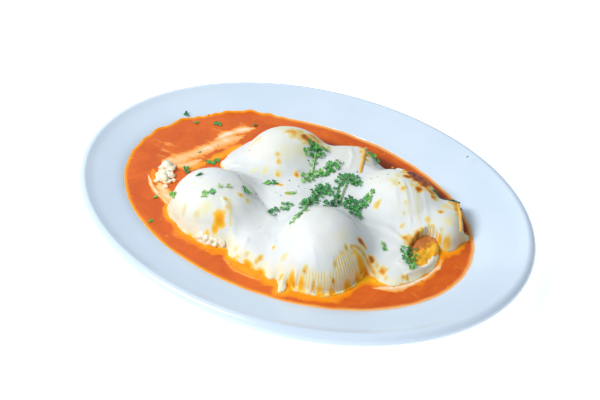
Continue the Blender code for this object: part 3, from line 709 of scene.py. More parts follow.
feed(tomato_shader, "Roughness", 0.2 + 0.25 * pulp)
feed(tomato_shader, "Normal", (0.8 * place.grain(110.0, 2.0) + 0.2 * pulp).bump(0.0004, 0.35))
sauce = add_piece("sauce_pool", np.vstack((tops, bottoms)), faces, tomato, {
    "oil": np.tile(oil.ravel(), 2), "cream": np.tile(cream.ravel(), 2), "shade": np.tile(shade.ravel(), 2),
    "film": np.tile(film_share.ravel(), 2), "far_side": np.tile(far_side.ravel(), 2),
})
face_outwards(sauce)
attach(sauce, "root")
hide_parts("tomato_sauce")


# The pasta shells are cooked jumbo shells, ridged outside and stuffed full, that lie in the sauce with
# their mouths down or to one side. Each is a half egg with fine ridges round it and a foot in the sauce.

RIDGE_DEPTH = 0.38
FINE_MESH = (6, 34)
COARSE_MESH = (4, 22)
SHELL_FOOT = 5.0
FOOT_NARROWING = 0.08
SHELLS = {
    # along, away, half length, half width, turn in degrees, height of the top, squareness, ridges
    "shell_front": (15.0, -50.5, 31.0, 26.5, 90.0, 44.0, 2.0, 88),
    "shell_left": (-51.5, -8.5, 31.0, 25.5, -38.0, 39.5, 2.1, 96),
    "shell_back": (-7.5, 37.0, 28.5, 23.5, 4.0, 42.0, 2.0, 96),
    "shell_right": (66.0, -8.5, 29.0, 20.5, -45.0, 38.5, 2.3, 88),
    "shell_middle": (31.0, 28.0, 22.0, 16.5, 0.0, 31.0, 3.0, 64),
    "shell_end": (91.0, -26.5, 16.5, 12.5, 75.0, 30.0, 3.2, 52),
    "shell_side": (63.0, -52.0, 18.0, 17.0, 20.0, 21.0, 2.2, 64),
}
OPEN_ENDS = {
    # along, away, turn in degrees of the plane that ends the shell
    "shell_middle": (44.0, 30.0, -10.0),
    "shell_end": (100.5, -28.0, -4.0),
}
# along, away, half length, half width, turn in degrees, height of the mouth's rim
MOUTH = (76.5, -51.0, 14.5, 8.5, 62.0, 21.0)
MOUTH_DEPTH = 3.2
MOUTH_MARGIN = 0.2
NOT_HOLLOW = 1e3
FILLED_REACH = 1.2
WET_ABOVE = 0.3
WET_FADE = 1.6
LIP_STEPS = 60
ROLLED_LIP_RADIUS = 1.15
LIP_LIFT = -0.1
LIP_REACH = 24
LIP_SAMPLES = 1200
LIP_SHRINK = (-0.3, 0.2)
LIP_FOOT = 0.4
CORD_SIDES = 8
GROOVE_YELLOW = ((0.76, 0.50, 0.11), (0.86, 0.62, 0.22))
CREST_PALE = (0.93, 0.88, 0.70)
STUFFING = ((0.35, (0.30, 0.10, 0.03)), (0.5, (0.72, 0.36, 0.10)), (0.65, (0.92, 0.78, 0.52)))
STAIN_SHADES = (
    # how wet it starts at and is full at, colour
    (0.35, 0.75, (0.95, 0.46, 0.03)),
    (0.8, 1.1, (0.93, 0.24, 0.012)),
)


def own_axes(along, away, centre_along, centre_away, turn):
    """Places as seen from a centre, along two axes that are turned by an angle."""
    ahead = along - centre_along
    aside = away - centre_away
    return ahead * math.cos(turn) + aside * math.sin(turn), -ahead * math.sin(turn) + aside * math.cos(turn)


def set_down(x, y, centre_along, centre_away, turn):
    """Points of a shape, turned by an angle and moved to its centre."""
    along = centre_along + x * math.cos(turn) - y * math.sin(turn)
    return along, centre_away + x * math.sin(turn) + y * math.cos(turn)


def rounded_power(part, power):
    return np.sign(part) * np.abs(part) ** power


def shell_skin(name):
    """One shell: places, heights, ridge crests and how far it is filled at each point, and its faces."""
    centre_along, centre_away, half_length, half_width, turn, top, squareness, ridges = SHELLS[name]
    steps_a_ridge, rows = FINE_MESH if name == "shell_front" else COARSE_MESH
    steps = ridges * steps_a_ridge
    around = np.arange(steps) * math.tau / steps
    rise = np.concatenate(([-1.0, -0.5], np.linspace(0, 0.5 * math.pi, rows)[:-1]))
    around, rise = np.meshgrid(around, rise)
    dome = np.clip(rise, 0, None)
    foot = np.clip(-rise, 0, None)
    power = 2 / squareness
    u = rounded_power(np.cos(dome) * np.cos(around), power)
    v = rounded_power(np.cos(dome) * np.sin(around), power)
    w = np.sin(dome) ** power
    crest = 0.5 + 0.5 * np.cos(ridges * around)
    groove = RIDGE_DEPTH * (1 - crest) * (1 - w ** 3)
    narrow = 1 - FOOT_NARROWING * foot
    x = u * (half_length - groove) * narrow
    y = v * (half_width - groove) * narrow
    z = SAUCE_LEVEL + w * (top - SAUCE_LEVEL - groove) - SHELL_FOOT * foot
    along, away = set_down(x, y, centre_along, centre_away, math.radians(turn))
    past = np.zeros_like(along)
    if name in OPEN_ENDS:
        along, away, past = held_back(along, away, OPEN_ENDS[name])
    rings = rise.shape[0]
    faces = between_rings(rings, steps)
    faces.append([(rings - 1) * steps + step for step in range(steps)])
    faces.append(list(reversed(range(steps))))
    return along, away, z, crest, np.clip(past / FILLED_REACH, 0, 1), faces


def mouth_floor(along, away):
    """Height of the floor of the shell's open mouth inside its oval, and far above everything elsewhere."""
    centre_along, centre_away, half_length, half_width, turn, rim = MOUTH
    ahead, aside = own_axes(along, away, centre_along, centre_away, math.radians(turn))
    u = ahead / half_length
    v = aside / half_width
    inside = np.clip(1 - u * u - v * v, 0, None)
    return np.where(inside > 0, rim - MOUTH_DEPTH * np.sqrt(inside), NOT_HOLLOW)


def held_back(along, away, end):
    """Presses what lies past a shell's open end back onto the plane of that end."""
    start_along, start_away, turn = end
    angle = math.radians(turn)
    past = (along - start_along) * math.cos(angle) + (away - start_away) * math.sin(angle)
    past = np.clip(past, 0, None)
    return along - past * math.cos(angle), away - past * math.sin(angle), past


def dome_height(spec, along, away, side, thickness):
    """Height over the sauce of one dome of the cheese at places in mm, 0 beside it."""
    centre_along, centre_away, half_length, half_width, turn, top, squareness = spec[:7]
    ahead, aside = own_axes(along, away, centre_along, centre_away, math.radians(turn))
    u = ahead / (half_length + side)
    v = aside / (half_width + side)
    inside = np.clip(1 - np.abs(u) ** squareness - np.abs(v) ** squareness, 0, None)
    return (top + thickness - SAUCE_LEVEL) * inside ** (1 / squareness)


def cord(spine, radii, across=(0.0, 0.0, 1.0)):
    """Points and faces of a round cord along a spine, all in mm. Across is never along the spine."""
    ahead = np.gradient(spine, axis=0)
    ahead /= np.linalg.norm(ahead, axis=1)[:, None]
    beside = np.cross(ahead, across)
    beside /= np.linalg.norm(beside, axis=1)[:, None]
    above = np.cross(beside, ahead)
    turn = np.arange(CORD_SIDES)[None, :, None] * math.tau / CORD_SIDES
    ring = beside[:, None, :] * np.cos(turn) + above[:, None, :] * np.sin(turn)
    points = (spine[:, None, :] + np.asarray(radii)[:, None, None] * ring).reshape(-1, 3)
    last_ring = range(len(points) - CORD_SIDES, len(points))
    faces = [list(range(CORD_SIDES)), list(reversed(last_ring))]
    faces += [[first, *reversed(rest)] for first, *rest in between_rings(len(spine), CORD_SIDES)]
    return points, faces


def lip_spine(name):
    """The rim of a shell's open end, from foot to foot, in mm."""
    start_along, start_away, turn = OPEN_ENDS[name]
    angle = math.radians(turn)
    reach = np.linspace(-LIP_REACH, LIP_REACH, LIP_SAMPLES)
    along = start_along - reach * math.sin(angle)
    away = start_away + reach * math.cos(angle)
    height = dome_height(SHELLS[name], along, away, *LIP_SHRINK)
    there = height > LIP_FOOT
    x, y = turned(along[there], away[there])
    line = np.column_stack((x, y, SAUCE_LEVEL + height[there]))
    steps = np.append(0, np.cumsum(np.linalg.norm(np.diff(line, axis=0), axis=1)))
    even = np.linspace(0, steps[-1], LIP_STEPS)
    return np.column_stack([np.interp(even, steps, line[:, axis]) for axis in range(3)])


pasta, pasta_shader, place = finish(
    "pasta", roughness=0.3, ior=1.42, subsurface_weight=0.12, subsurface_scale=0.002,
)
patch = place.grain(95.0, 3.0)
groove_colour = patch.eased(0.35, 0.65).blend(*GROOVE_YELLOW)
pasta_colour = attribute(place, "crest").eased(0.25, 0.8).blend(groove_colour, CREST_PALE)
stuffing = place.grain(260.0, 4.0).ramp(*STUFFING)
pasta_colour = attribute(place, "filled").eased(0.3, 0.9).blend(pasta_colour, stuffing)
stain = attribute(place, "wet") + 0.5 * (place.grain(140.0, 3.0) - 0.5)
feed(pasta_shader, "Base Color", stain.layered(pasta_colour, STAIN_SHADES))
feed(pasta_shader, "Roughness", 0.22 + 0.2 * patch)
feed(pasta_shader, "Normal", place.grain(500.0, 3.0).bump(0.0002, 0.4))

for name in SHELLS:
    along, away, height, crest, filled, faces = shell_skin(name)
    x, y = turned(along, away)
    height = np.minimum(height, mouth_floor(along, away) - MOUTH_MARGIN)
    points = np.column_stack((x.ravel(), y.ravel(), height.ravel()))
    wetness = np.exp(-np.clip(height - SAUCE_LEVEL - WET_ABOVE, 0, None) / WET_FADE)
    shell = add_piece(name + "_ridged", points, faces, pasta, {
        "crest": crest.ravel(), "wet": wetness.ravel(), "filled": filled.ravel(),
    })
    face_outwards(shell)
    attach(shell, "root")
    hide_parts(name)


# The melted cheese is one blanket over the shells. It is thick in the hollows, stretched thin over the
# shoulders, browned in blisters on top, and it ends in drips and a rounded, oily edge. It is a sheet laid
# over the shells' heights, evened out in rounds, and then folded and rippled.

CHEESE_THICKNESS = 2.0
CHEESE_SIDE = 1.4
CHEESE_MELT = 6.0
CHEESE_EDGE = 4.6
CHEESE_BODY = 1.6
CHEESE_LEAST = 0.6
CHEESE_LOWEST = 1.3
CREAMY_REACH = 11.0
CHEESE_GRID = 1.0
CHEESE_EDGE_POINTS = 620
TRIANGLE_RISE = 0.866
EDGE_SPACING = 0.35
FINE_EDGE = 1.2
STEEP = 1.25
STEEP_STEP = 0.4
GAP = 0.3
RIDGE_COVER = 0.12
SEE_THROUGH_THINNING = 0.93
BLISTER_HEIGHT = 0.35
BLISTER_DENT = (0.8, 5)
CHEESE_RIPPLES = ((1.5, 26, 2.0), (0.6, 11, 5.0), (0.2, 4.5, 12.0))
EDGE_RIPPLES = ((0.9, 5.5, 21.0), (0.45, 2.6, 33.0))
CHEESE_SWELLS = (
    # along, away, half length, half width, turn in degrees, height of the top, squareness
    (4.0, -8.0, 44.0, 28.0, 0.0, 30.0, 2.0),
    (34.0, -2.0, 28.0, 24.0, 0.0, 30.0, 2.0),
    (-24.0, -36.0, 29.0, 22.0, 60.0, 26.0, 2.0),
    (49.0, -46.0, 21.0, 19.0, 0.0, 24.5, 2.0),
    (76.0, -27.0, 19.0, 20.0, 0.0, 30.0, 2.0),
    (-36.0, 16.0, 22.0, 16.0, 0.0, 28.0, 2.0),
)
SHOULDER_THICKNESS = 1.1
DRAPE_STEP = 1.0
DRAPE_START = (-92.0, -90.0)
DRAPE_END = (114.0, 72.0)
DRAPE_ROUNDS = 60
SOFTENING_ROUNDS = 6
# Painted shade in the cheese's hollows: how often the sheet is evened out to find them, and how deep a
# hollow is fully greyed.
HOLLOW_SHADE_ROUNDS = 70
HOLLOW_SHADE_DEPTH = 3.5
SHOWING = (
    # width, strength, points (along, away) where the front shell's ridges show through
    (3.6, 1.3, ((-1.5, -77), (3, -78), (8.5, -79.5))),
    (3.0, 1.3, ((7, -79), (13, -81), (19, -81))),
    (3.4, 1.5, ((17.5, -82), (24, -79), (31, -74), (37, -67))),
    (3.6, 1.4, ((22, -76), (28, -70.5), (33.5, -63.5))),
)
FOLDS = (
    # width, height (a crease is negative), points (along, away)
    (1.0, 0.34, ((65, -6), (67.5, -18), (69, -30), (69.5, -37))),
    (0.8, 0.3, ((73, -8), (74, -20), (74.5, -30), (75, -38))),
    (0.9, 0.24, ((60, -8), (61.5, -20), (63, -32))),
    (0.8, -0.26, ((67.5, -8), (70, -20), (71.5, -34))),
    (0.9, 0.3, ((78, -12), (79.5, -24), (80.5, -34))),
    (0.7, 0.22, ((70.5, -14), (72, -26), (72.5, -36))),
    (2.2, 0.9, ((28, -26), (42, -28), (55, -34), (64, -44))),
    (2.4, -0.9, ((-40, 6), (-30, -4), (-20, -16), (-12, -28))),
    (2.0, 0.8, ((-14, -48), (-13, -60), (-10, -74))),
    (2.0, 0.7, ((-30, -44), (-34, -52), (-38, -57))),
    (1.6, 0.5, ((9, -68), (11, -76), (12, -80))),
    (1.5, -0.5, ((-4, -66), (-2, -76))),
    (1.8, 0.8, ((-9, -64), (-9, -76))),
    (3.0, 1.0, ((-46, -22), (-40, -34), (-40, -46))),
    (2.5, 0.8, ((-44, 30), (-34, 22), (-18, 16), (0, 14))),
    (1.8, -0.6, ((-46, 20), (-32, 12), (-20, 8))),
    (2.2, 0.7, ((20, 38), (18, 28), (12, 20))),
    (1.6, 0.5, ((36, 38), (36, 26), (34, 16))),
    (2.0, 0.9, ((60, -62), (66, -66), (74, -62))),
    (3.2, -6.0, ((51, 41), (50, 35), (48.5, 28), (47.5, 21))),
    (4.5, 2.2, ((65, 10.2), (70, 8.5), (77, 3), (83, -3.5), (88, -9.5))),
)
MOUTH_LIP = (1.4, 1.0, ((83, -38), (85.5, -46), (85.5, -53), (80.5, -60), (73, -65.5), (64, -69.5)))
BROWNED_AND_SHADED = (
    # along, away, radius, depth from 0 to 1 of the browning, and of the painted shade in the first four
    # The first four spots, just past the middle shell's open end, are painted shade inside its opening; the
    # rest are browning.
    (47.4, 36.0, 2.4, 0.66), (46.4, 30.0, 2.2, 0.62), (45.4, 24.5, 2.0, 0.56), (48.6, 41.0, 2.2, 0.6),
    (52.4, 33.0, 3.4, 0.34), (57.4, 31.0, 3.0, 0.4), (61.6, 28.4, 2.6, 0.46), (66.4, 24.0, 2.8, 0.4),
    (60.0, 21.0, 4.0, 0.2), (69.0, 12.0, 3.0, 0.3), (73.4, 8.0, 2.6, 0.55), (-3.1, 38.3, 5.0, 0.52),
    (5.6, 35.5, 4.8, 0.72), (1.6, 41.3, 3.2, 0.42), (10.3, 40.7, 3.6, 0.5), (13.6, 38.6, 4.2, 0.42),
    (18.2, 34.4, 5.0, 0.32), (-13.5, 22.4, 1.9, 0.48), (-12.5, 18.6, 2.0, 0.45),
    (-13.1, 11.7, 2.2, 0.56), (-1.0, 11.5, 2.4, 0.56), (-12.6, 3.3, 2.0, 0.52), (-10.6, 1.4, 1.6, 0.5),
    (-7.0, -7.9, 1.9, 0.54), (-5.0, -9.5, 1.4, 0.42), (-28.6, 16.6, 3.4, 0.2), (-21.3, 15.0, 3.4, 0.24),
    (-8.5, 46.5, 10.0, 0.18), (-26.5, 39.2, 4.4, 0.24), (-8.2, 24.1, 7.0, 0.16), (1.6, 25.2, 6.0, 0.2),
    (-35.4, -18.1, 1.8, 0.5), (-31.0, -20.1, 1.8, 0.42), (-44.3, -22.8, 1.8, 0.42),
    (-42.7, -27.0, 2.2, 0.36), (-33.6, -28.1, 1.2, 0.2), (-56.9, -26.3, 5.0, 0.22),
    (-62.0, -28.0, 2.4, 0.28), (-70.5, -22.0, 2.4, 0.3), (-66.0, -8.0, 1.4, 0.2),
    (38.4, -55.2, 2.6, 0.82), (28.4, -64.9, 1.5, 0.46), (31.8, -62.8, 1.3, 0.48),
    (21.9, -74.4, 1.5, 0.5), (4.2, -75.7, 1.6, 0.52), (20.8, -79.8, 1.4, 0.56), (9.2, -80.5, 1.5, 0.5),
    (-14.3, -53.5, 1.7, 0.56), (-30.0, -54.3, 1.8, 0.4), (-22.4, -57.7, 2.2, 0.5),
    (-24.4, -59.2, 1.8, 0.46), (-37.3, -49.1, 2.2, 0.3), (-7.8, -64.2, 3.2, 0.26),
    (25.5, -60.1, 6.5, 0.15), (28.0, -56.1, 5.0, 0.14), (44.6, -61.0, 2.4, 0.72),
    (50.4, -66.6, 2.6, 0.68), (47.5, -63.2, 1.8, 0.5), (62.6, -70.8, 1.4, 0.52), (64.9, -71.0, 1.4, 0.5),
    (52.6, -70.7, 1.4, 0.42), (49.8, -19.4, 2.3, 0.52), (74.6, -1.0, 4.8, 0.95), (71.5, 5.0, 3.6, 0.85),
    (75.2, 2.6, 4.2, 0.95), (78.6, -2.4, 4.0, 0.95), (81.6, -6.4, 3.6, 0.9), (67.4, 2.0, 2.4, 0.5),
    (71.6, 1.4, 3.2, 0.9), (76.8, -5.6, 4.4, 0.9), (79.4, -9.4, 4.0, 0.84), (69.2, -4.0, 3.2, 0.7),
    (75.7, -14.7, 3.2, 0.7), (71.5, -12.1, 2.2, 0.4), (65.5, -15.5, 2.3, 0.52), (61.5, -11.0, 3.6, 0.32),
    (84.3, -13.4, 3.2, 0.66), (85.4, -17.4, 2.6, 0.6), (81.4, -6.4, 2.6, 0.8), (64.0, -3.0, 4.0, 0.26),
    (64.4, -34.7, 1.7, 0.4), (67.0, -24.0, 1.6, 0.3), (58.0, -6.0, 3.0, 0.22), (88.4, -28.7, 2.2, 0.62),
    (80.1, -33.3, 1.9, 0.48), (88.0, -40.0, 1.5, 0.34), (82.5, -37.4, 1.7, 0.4), (85.0, -41.7, 1.3, 0.4),
    (92.6, -35.9, 5.0, 0.24), (73.8, -40.7, 2.6, 0.64), (69.2, -45.4, 4.6, 0.56),
    (65.7, -43.3, 3.0, 0.5), (93.0, -23.0, 4.0, 0.3), (97.0, -31.0, 3.0, 0.2), (36.0, -44.0, 1.5, 0.3),
    (66.0, -29.0, 1.5, 0.3),
)
GOLDEN = (
    # along, away, radius, depth of the golden oil that soaks the cheese
    (43.0, 38.0, 2.4, 0.9), (38.0, 39.4, 1.9, 0.7), (33.0, 39.8, 1.8, 0.6), (42.6, 32.0, 1.6, 0.8),
    (41.4, 26.0, 1.4, 0.5), (-48.1, -32.7, 4.2, 1.0), (-50.5, -36.0, 3.2, 0.8), (-45.0, -30.0, 2.4, 0.6),
    (-56.0, -37.0, 2.4, 0.6), (33.9, -63.6, 3.2, 0.7), (37.0, -65.7, 3.4, 0.9), (41.0, -65.4, 3.0, 1.0),
    (46.2, -68.4, 3.0, 1.0), (2.2, -78.2, 2.4, 0.8), (-4.2, -75.5, 3.0, 1.0), (-9.5, -72.0, 2.2, 0.6),
    (25.4, -68.9, 2.0, 0.5), (99.0, -19.0, 3.4, 1.1), (96.4, -17.6, 2.8, 0.8), (98.6, -24.0, 2.4, 0.9),
    (99.6, -28.0, 1.8, 0.8), (66.5, -47.0, 2.8, 0.7), (70.5, -43.0, 3.0, 0.9), (75.5, -40.5, 3.0, 0.9),
    (81.5, -42.0, 3.2, 0.9), (86.1, -43.4, 2.8, 0.9), (91.2, -44.6, 3.0, 0.7), (13.0, -82.0, 2.4, 0.6),
    (20.5, -82.0, 2.0, 0.7), (30.0, -78.0, 2.4, 0.7), (36.0, -72.0, 2.6, 0.8), (-30.0, -60.0, 3.0, 0.8),
    (-22.0, -65.0, 2.6, 0.6), (-38.0, -54.0, 2.2, 0.6), (76.0, -43.0, 2.6, 0.8),
)
STRETCHED = (
    # width, depth of the yellow that shows through, points (along, away)
    (2.0, 0.5, ((45, 43.5), (38, 46.5), (28, 49), (18, 53))),
    (1.4, 0.3, ((104, -28), (103.5, -36), (99, -41))),
    (1.0, 0.22, ((66, -12), (68, -22), (69.5, -32))),
    (0.9, 0.26, ((73, -14), (74, -24), (74.5, -36))),
    (1.1, 0.36, ((79, -30), (80.5, -38), (82, -44))),
    (1.8, 0.46, ((48, -70), (43, -63), (38, -60), (32, -62))),
    (1.2, 0.3, ((-42, -22), (-41, -30), (-41, -38))),
    (2.6, 0.26, ((-30, 52), (-16, 56), (0, 56))),
)
BROWN_RAGGED = (0.6, 2.6)
GOLD_RAGGED = (0.5, 3.0)
MILK_WHITE = ((0.74, 0.775, 0.78), (0.79, 0.81, 0.81))
CURD_WHITE = (0.80, 0.80, 0.74)
PAINTED_HOLLOW_SHADE = (0.50, 0.56, 0.57)
THIN_YELLOW = (0.87, 0.84, 0.58)
CREAM_YELLOW = (0.93, 0.85, 0.52)
RIDGES_THROUGH = ((0.86, 0.60, 0.12), (0.86, 0.84, 0.68))
SOAKED = (
    # how much oil, colour
    (0.3, (0.90, 0.80, 0.50)), (0.55, (0.97, 0.60, 0.10)), (0.8, (1.0, 0.46, 0.015)),
    (1.0, (0.97, 0.36, 0.01)),
)
CRUST = (
    # how browned, colour
    (0.0, (0.78, 0.79, 0.72)), (0.2, (0.78, 0.76, 0.50)), (0.4, (0.84, 0.58, 0.17)),
    (0.55, (0.78, 0.32, 0.035)), (0.72, (0.48, 0.13, 0.022)), (0.95, (0.13, 0.042, 0.048)),
)


def smooth_max(first, second, blend):
    """The higher of two heights, rounded where they meet."""
    near = np.clip(blend - np.abs(first - second), 0, None) / blend
    return np.maximum(first, second) + near * near * blend / 4


def evened(sheet):
    """Each point of a grid of heights at the mean of its four neighbours."""
    return (np.roll(sheet, 1, 0) + np.roll(sheet, -1, 0) + np.roll(sheet, 1, 1) + np.roll(sheet, -1, 1)) / 4


def drape(outline):
    """The blanket's height over the sauce on a grid: a soft sheet that sags between the shells under it."""
    axes = [np.arange(start, end, DRAPE_STEP) for start, end in zip(DRAPE_START, DRAPE_END)]
    along, away = np.meshgrid(*axes, indexing="ij")
    sheet = np.zeros_like(along)
    for spec in SHELLS.values():
        sheet = smooth_max(sheet, dome_height(spec, along, away, CHEESE_SIDE, CHEESE_THICKNESS), CHEESE_MELT)
    for spec in CHEESE_SWELLS:
        sheet = smooth_max(sheet, dome_height(spec, along, away, 0.0, 0.0), CHEESE_MELT)
    covered = within(along.ravel(), away.ravel(), outline).reshape(along.shape)
    held_up = bare_height(along, away) + SHOULDER_THICKNESS
    sheet = np.where(covered, sheet, 0)
    for _ in range(DRAPE_ROUNDS):
        sheet = np.where(covered, np.maximum(evened(sheet), held_up), 0)
    for _ in range(SOFTENING_ROUNDS):
        sheet = np.where(covered, evened(sheet), 0)
    return sheet


def on_drape(sheet, along, away):
    """The draped height at places, between the points of its grid."""
    column = np.clip((along - DRAPE_START[0]) / DRAPE_STEP, 0, sheet.shape[0] - 1.001)
    row = np.clip((away - DRAPE_START[1]) / DRAPE_STEP, 0, sheet.shape[1] - 1.001)
    left = column.astype(int)
    near = row.astype(int)
    right = column - left
    far = row - near
    return (
        sheet[left, near] * (1 - right) * (1 - far) + sheet[left + 1, near] * right * (1 - far)
        + sheet[left, near + 1] * (1 - right) * far + sheet[left + 1, near + 1] * right * far
    )


def bare_height(along, away):
    """Height over the sauce of the pasta itself."""
    bare = np.zeros_like(along)
    for spec in SHELLS.values():
        bare = np.maximum(bare, dome_height(spec, along, away, 2 * GAP, 2 * GAP))
    return bare


def front_crest(along, away):
    """The ridge crests of the front shell, from 0 in a groove to 1 on a crest."""
    centre_along, centre_away, half_length, half_width, turn, _, _, ridges = SHELLS["shell_front"]
    ahead, aside = own_axes(along, away, centre_along, centre_away, math.radians(turn))
    return 0.5 + 0.5 * np.cos(ridges * np.arctan2(aside / half_width, ahead / half_length))


def showing(along, away):
    """How far the pasta's ridges show through the thin cheese low on the front shell."""
    share = np.zeros(np.shape(along))
    for width, strength, points in SHOWING:
        share = np.maximum(share, strength * stroke(along, away, width, points))
    return np.clip(share * (1 + 0.5 * waves(along, away, 3.2, 61.0)) - 0.12, 0, 1)


def spot_spread(along, away, centre_along, centre_away, radius):
    """How far places are from the middle of a spot: 0 in it, 1 a radius away, growing as the square."""
    return ((along - centre_along) ** 2 + (away - centre_away) ** 2) / radius ** 2


def cheese_height(along, away, edge_distance):
    """The top of the blanket in mm over the table, at places in mm."""
    height = on_drape(draped, along, away)
    for width, rise, points in FOLDS:
        height = height + rise * stroke(along, away, width, points)
    height = rippled(height, along, away, CHEESE_RIPPLES)
    width, rise, points = MOUTH_LIP
    height = height + rise * stroke(along, away, width, points)
    for *spot, depth in BROWNED_AND_SHADED:
        spread = spot_spread(along, away, *spot)
        dented = 1 - BLISTER_DENT[0] * np.exp(-spread * BLISTER_DENT[1])
        height = height + BLISTER_HEIGHT * depth * np.exp(-spread) * dented
    bare = bare_height(along, away)
    height = np.maximum(height, np.maximum(bare + CHEESE_LEAST, CHEESE_LOWEST))
    fullness = np.clip(edge_distance / CHEESE_EDGE, 0, 1)
    fullness = np.sqrt(fullness * (2 - fullness))
    see_through = showing(along, away)
    lowest = np.maximum(bare + RIDGE_DEPTH * see_through * (front_crest(along, away) - 1), GAP) + RIDGE_COVER
    body = np.clip(height - lowest, 0, None) * fullness * (1 - SEE_THROUGH_THINNING * see_through)
    return np.minimum(SAUCE_LEVEL + lowest + body, mouth_floor(along, away))


def within(along, away, outline):
    """Which places lie inside a closed outline."""
    inside = np.zeros(len(along), bool)
    for start, end in zip(outline, np.roll(outline, -1, axis=0)):
        spans = (start[1] > away) != (end[1] > away)
        rise = end[1] - start[1] if end[1] != start[1] else 1e-9
        inside ^= spans & (start[0] + (away - start[1]) * (end[0] - start[0]) / rise > along)
    return inside


cheese_edge = closed_curve(CHEESE_OUTLINE, CHEESE_EDGE_POINTS)
outward = np.roll(cheese_edge, -1, axis=0) - np.roll(cheese_edge, 1, axis=0)
outward = np.column_stack((outward[:, 1], -outward[:, 0])) / np.hypot(*outward.T)[:, None]
ragged = rippled(0, cheese_edge[:, 0], cheese_edge[:, 1], EDGE_RIPPLES)
cheese_edge = cheese_edge + outward * ragged[:, None]
draped = drape(cheese_edge)
levelled = draped
for _ in range(HOLLOW_SHADE_ROUNDS):
    levelled = evened(levelled)

half_grid = CHEESE_GRID / 2
low = cheese_edge.min(axis=0)
high = cheese_edge.max(axis=0)
rows = int((high[1] - low[1]) / (half_grid * TRIANGLE_RISE)) + 1
columns = int((high[0] - low[0]) / half_grid) + 1
column, row = np.meshgrid(np.arange(columns), np.arange(rows))
grid_along = (low[0] + (column + 0.5 * (row % 2)) * half_grid).ravel()
grid_away = (low[1] + row * half_grid * TRIANGLE_RISE).ravel()
whole = ((row % 2 == 0) & ((column + row // 2) % 2 == 0)).ravel()
kept = within(grid_along, grid_away, cheese_edge)
grid_along, grid_away, whole = grid_along[kept], grid_away[kept], whole[kept]
grid_edge = distance_to_points(grid_along, grid_away, cheese_edge)
kept = grid_edge > EDGE_SPACING * CHEESE_GRID
grid_along, grid_away, grid_edge, whole = (part[kept] for part in (grid_along, grid_away, grid_edge, whole))
here = cheese_height(grid_along, grid_away, grid_edge)
beside = cheese_height(grid_along + STEEP_STEP, grid_away, grid_edge)
behind = cheese_height(grid_along, grid_away + STEEP_STEP, grid_edge)
slope = np.hypot(beside - here, behind - here) / STEEP_STEP
kept = whole | (slope > STEEP) | (grid_edge < FINE_EDGE) | (showing(grid_along, grid_away) > 0)
places = [Vector(edge_point) for edge_point in cheese_edge.tolist()]
places += [Vector(pair) for pair in zip(grid_along[kept].tolist(), grid_away[kept].tolist())]
border = [(index, (index + 1) % len(cheese_edge)) for index in range(len(cheese_edge))]
found, _, triangles, *_ = geometry.delaunay_2d_cdt(places, border, [], 1, 1e-5)
found = np.array([tuple(point) for point in found])
along, away = found[:, 0], found[:, 1]
edge_distance = distance_to_points(along, away, cheese_edge)
edge_distance[:len(cheese_edge)] = 0
top = cheese_height(along, away, edge_distance)
x, y = turned(along, away)
count = len(found)
points = np.column_stack((np.tile(x, 2), np.tile(y, 2), np.concatenate((top, top - CHEESE_BODY))))
faces = [list(corners) for corners in triangles]
faces += [[count + corner for corner in reversed(corners)] for corners in triangles]
faces += [[start, count + start, count + end, end] for start, end in border]

# Browning, stretched yellow and, in four spots, painted shade.
toast = np.zeros(count)
for centre_along, centre_away, radius, depth in BROWNED_AND_SHADED:
    warped = radius * rippled(1, along, away, ((*BROWN_RAGGED, centre_along),))
    spread = spot_spread(along, away, centre_along, centre_away, warped)
    toast = np.maximum(toast, depth * np.exp(-0.9 * spread ** 1.4))
for width, depth, line in STRETCHED:
    toast = np.maximum(toast, depth * stroke(along, away, width, line))
gold = np.zeros(count)
for centre_along, centre_away, radius, depth in GOLDEN:
    warped = radius * rippled(1, along, away, ((*GOLD_RAGGED, centre_along),))
    gold = np.maximum(gold, depth * np.exp(-spot_spread(along, away, centre_along, centre_away, warped)))
# Painted shade: the sheet's depth below an evened-out copy of itself greys the cheese in its hollows and
# creases.
hollow = np.clip((on_drape(levelled, along, away) - on_drape(draped, along, away)) / HOLLOW_SHADE_DEPTH, 0, 1)
creamy = np.clip(1 - edge_distance / CREAMY_REACH, 0, 1) * np.clip((22 - away - 0.3 * along) / 20, 0.3, 1)
thin = np.clip(1.6 - (top - SAUCE_LEVEL - bare_height(along, away)), 0, 1)

cheese, cheese_shader, place = finish(
    "melted_cheese", roughness=0.4, ior=1.42, specular_ior_level=0.3,
    subsurface_weight=0.2, subsurface_scale=0.003, subsurface_radius=(1.0, 0.8, 0.55),
)
milk = place.grain(60.0, 4.0, 0.55)
curdling = place.grain(330.0, 3.0)
white = milk.eased(0.35, 0.7).blend(*MILK_WHITE)
white = curdling.eased(0.60, 0.78).blend(white, CURD_WHITE)
# Painted shade darkens the white in the hollows.
white = (0.9 * attribute(place, "hollow").eased(0.0, 1.0)).blend(white, PAINTED_HOLLOW_SHADE)
white = (0.22 * attribute(place, "thin")).blend(white, THIN_YELLOW)
ridge_colour = attribute(place, "crest").eased(0.2, 0.75).blend(*RIDGES_THROUGH)
white = attribute(place, "showing").eased(0.15, 0.75).blend(white, ridge_colour)
creaming = attribute(place, "creamy") + 0.6 * (place.grain(150.0, 4.0) - 0.5)
white = (0.6 * creaming.eased(0.3, 0.85)).blend(white, CREAM_YELLOW)
oily_edge = (1 - attribute(place, "edge").eased(0.0, 3.4)) * place.grain(120.0, 3.0).eased(0.36, 0.62)
golden = attribute(place, "gold") + 0.55 * oily_edge + 0.3 * (place.grain(300.0, 3.0) - 0.5)
colour = golden.eased(0.22, 0.5).blend(white, golden.ramp(*SOAKED))
freckles = 0.5 * place.grain(110.0, 3.0) + 0.5 * place.grain(280.0, 4.0, 0.65) - 0.5
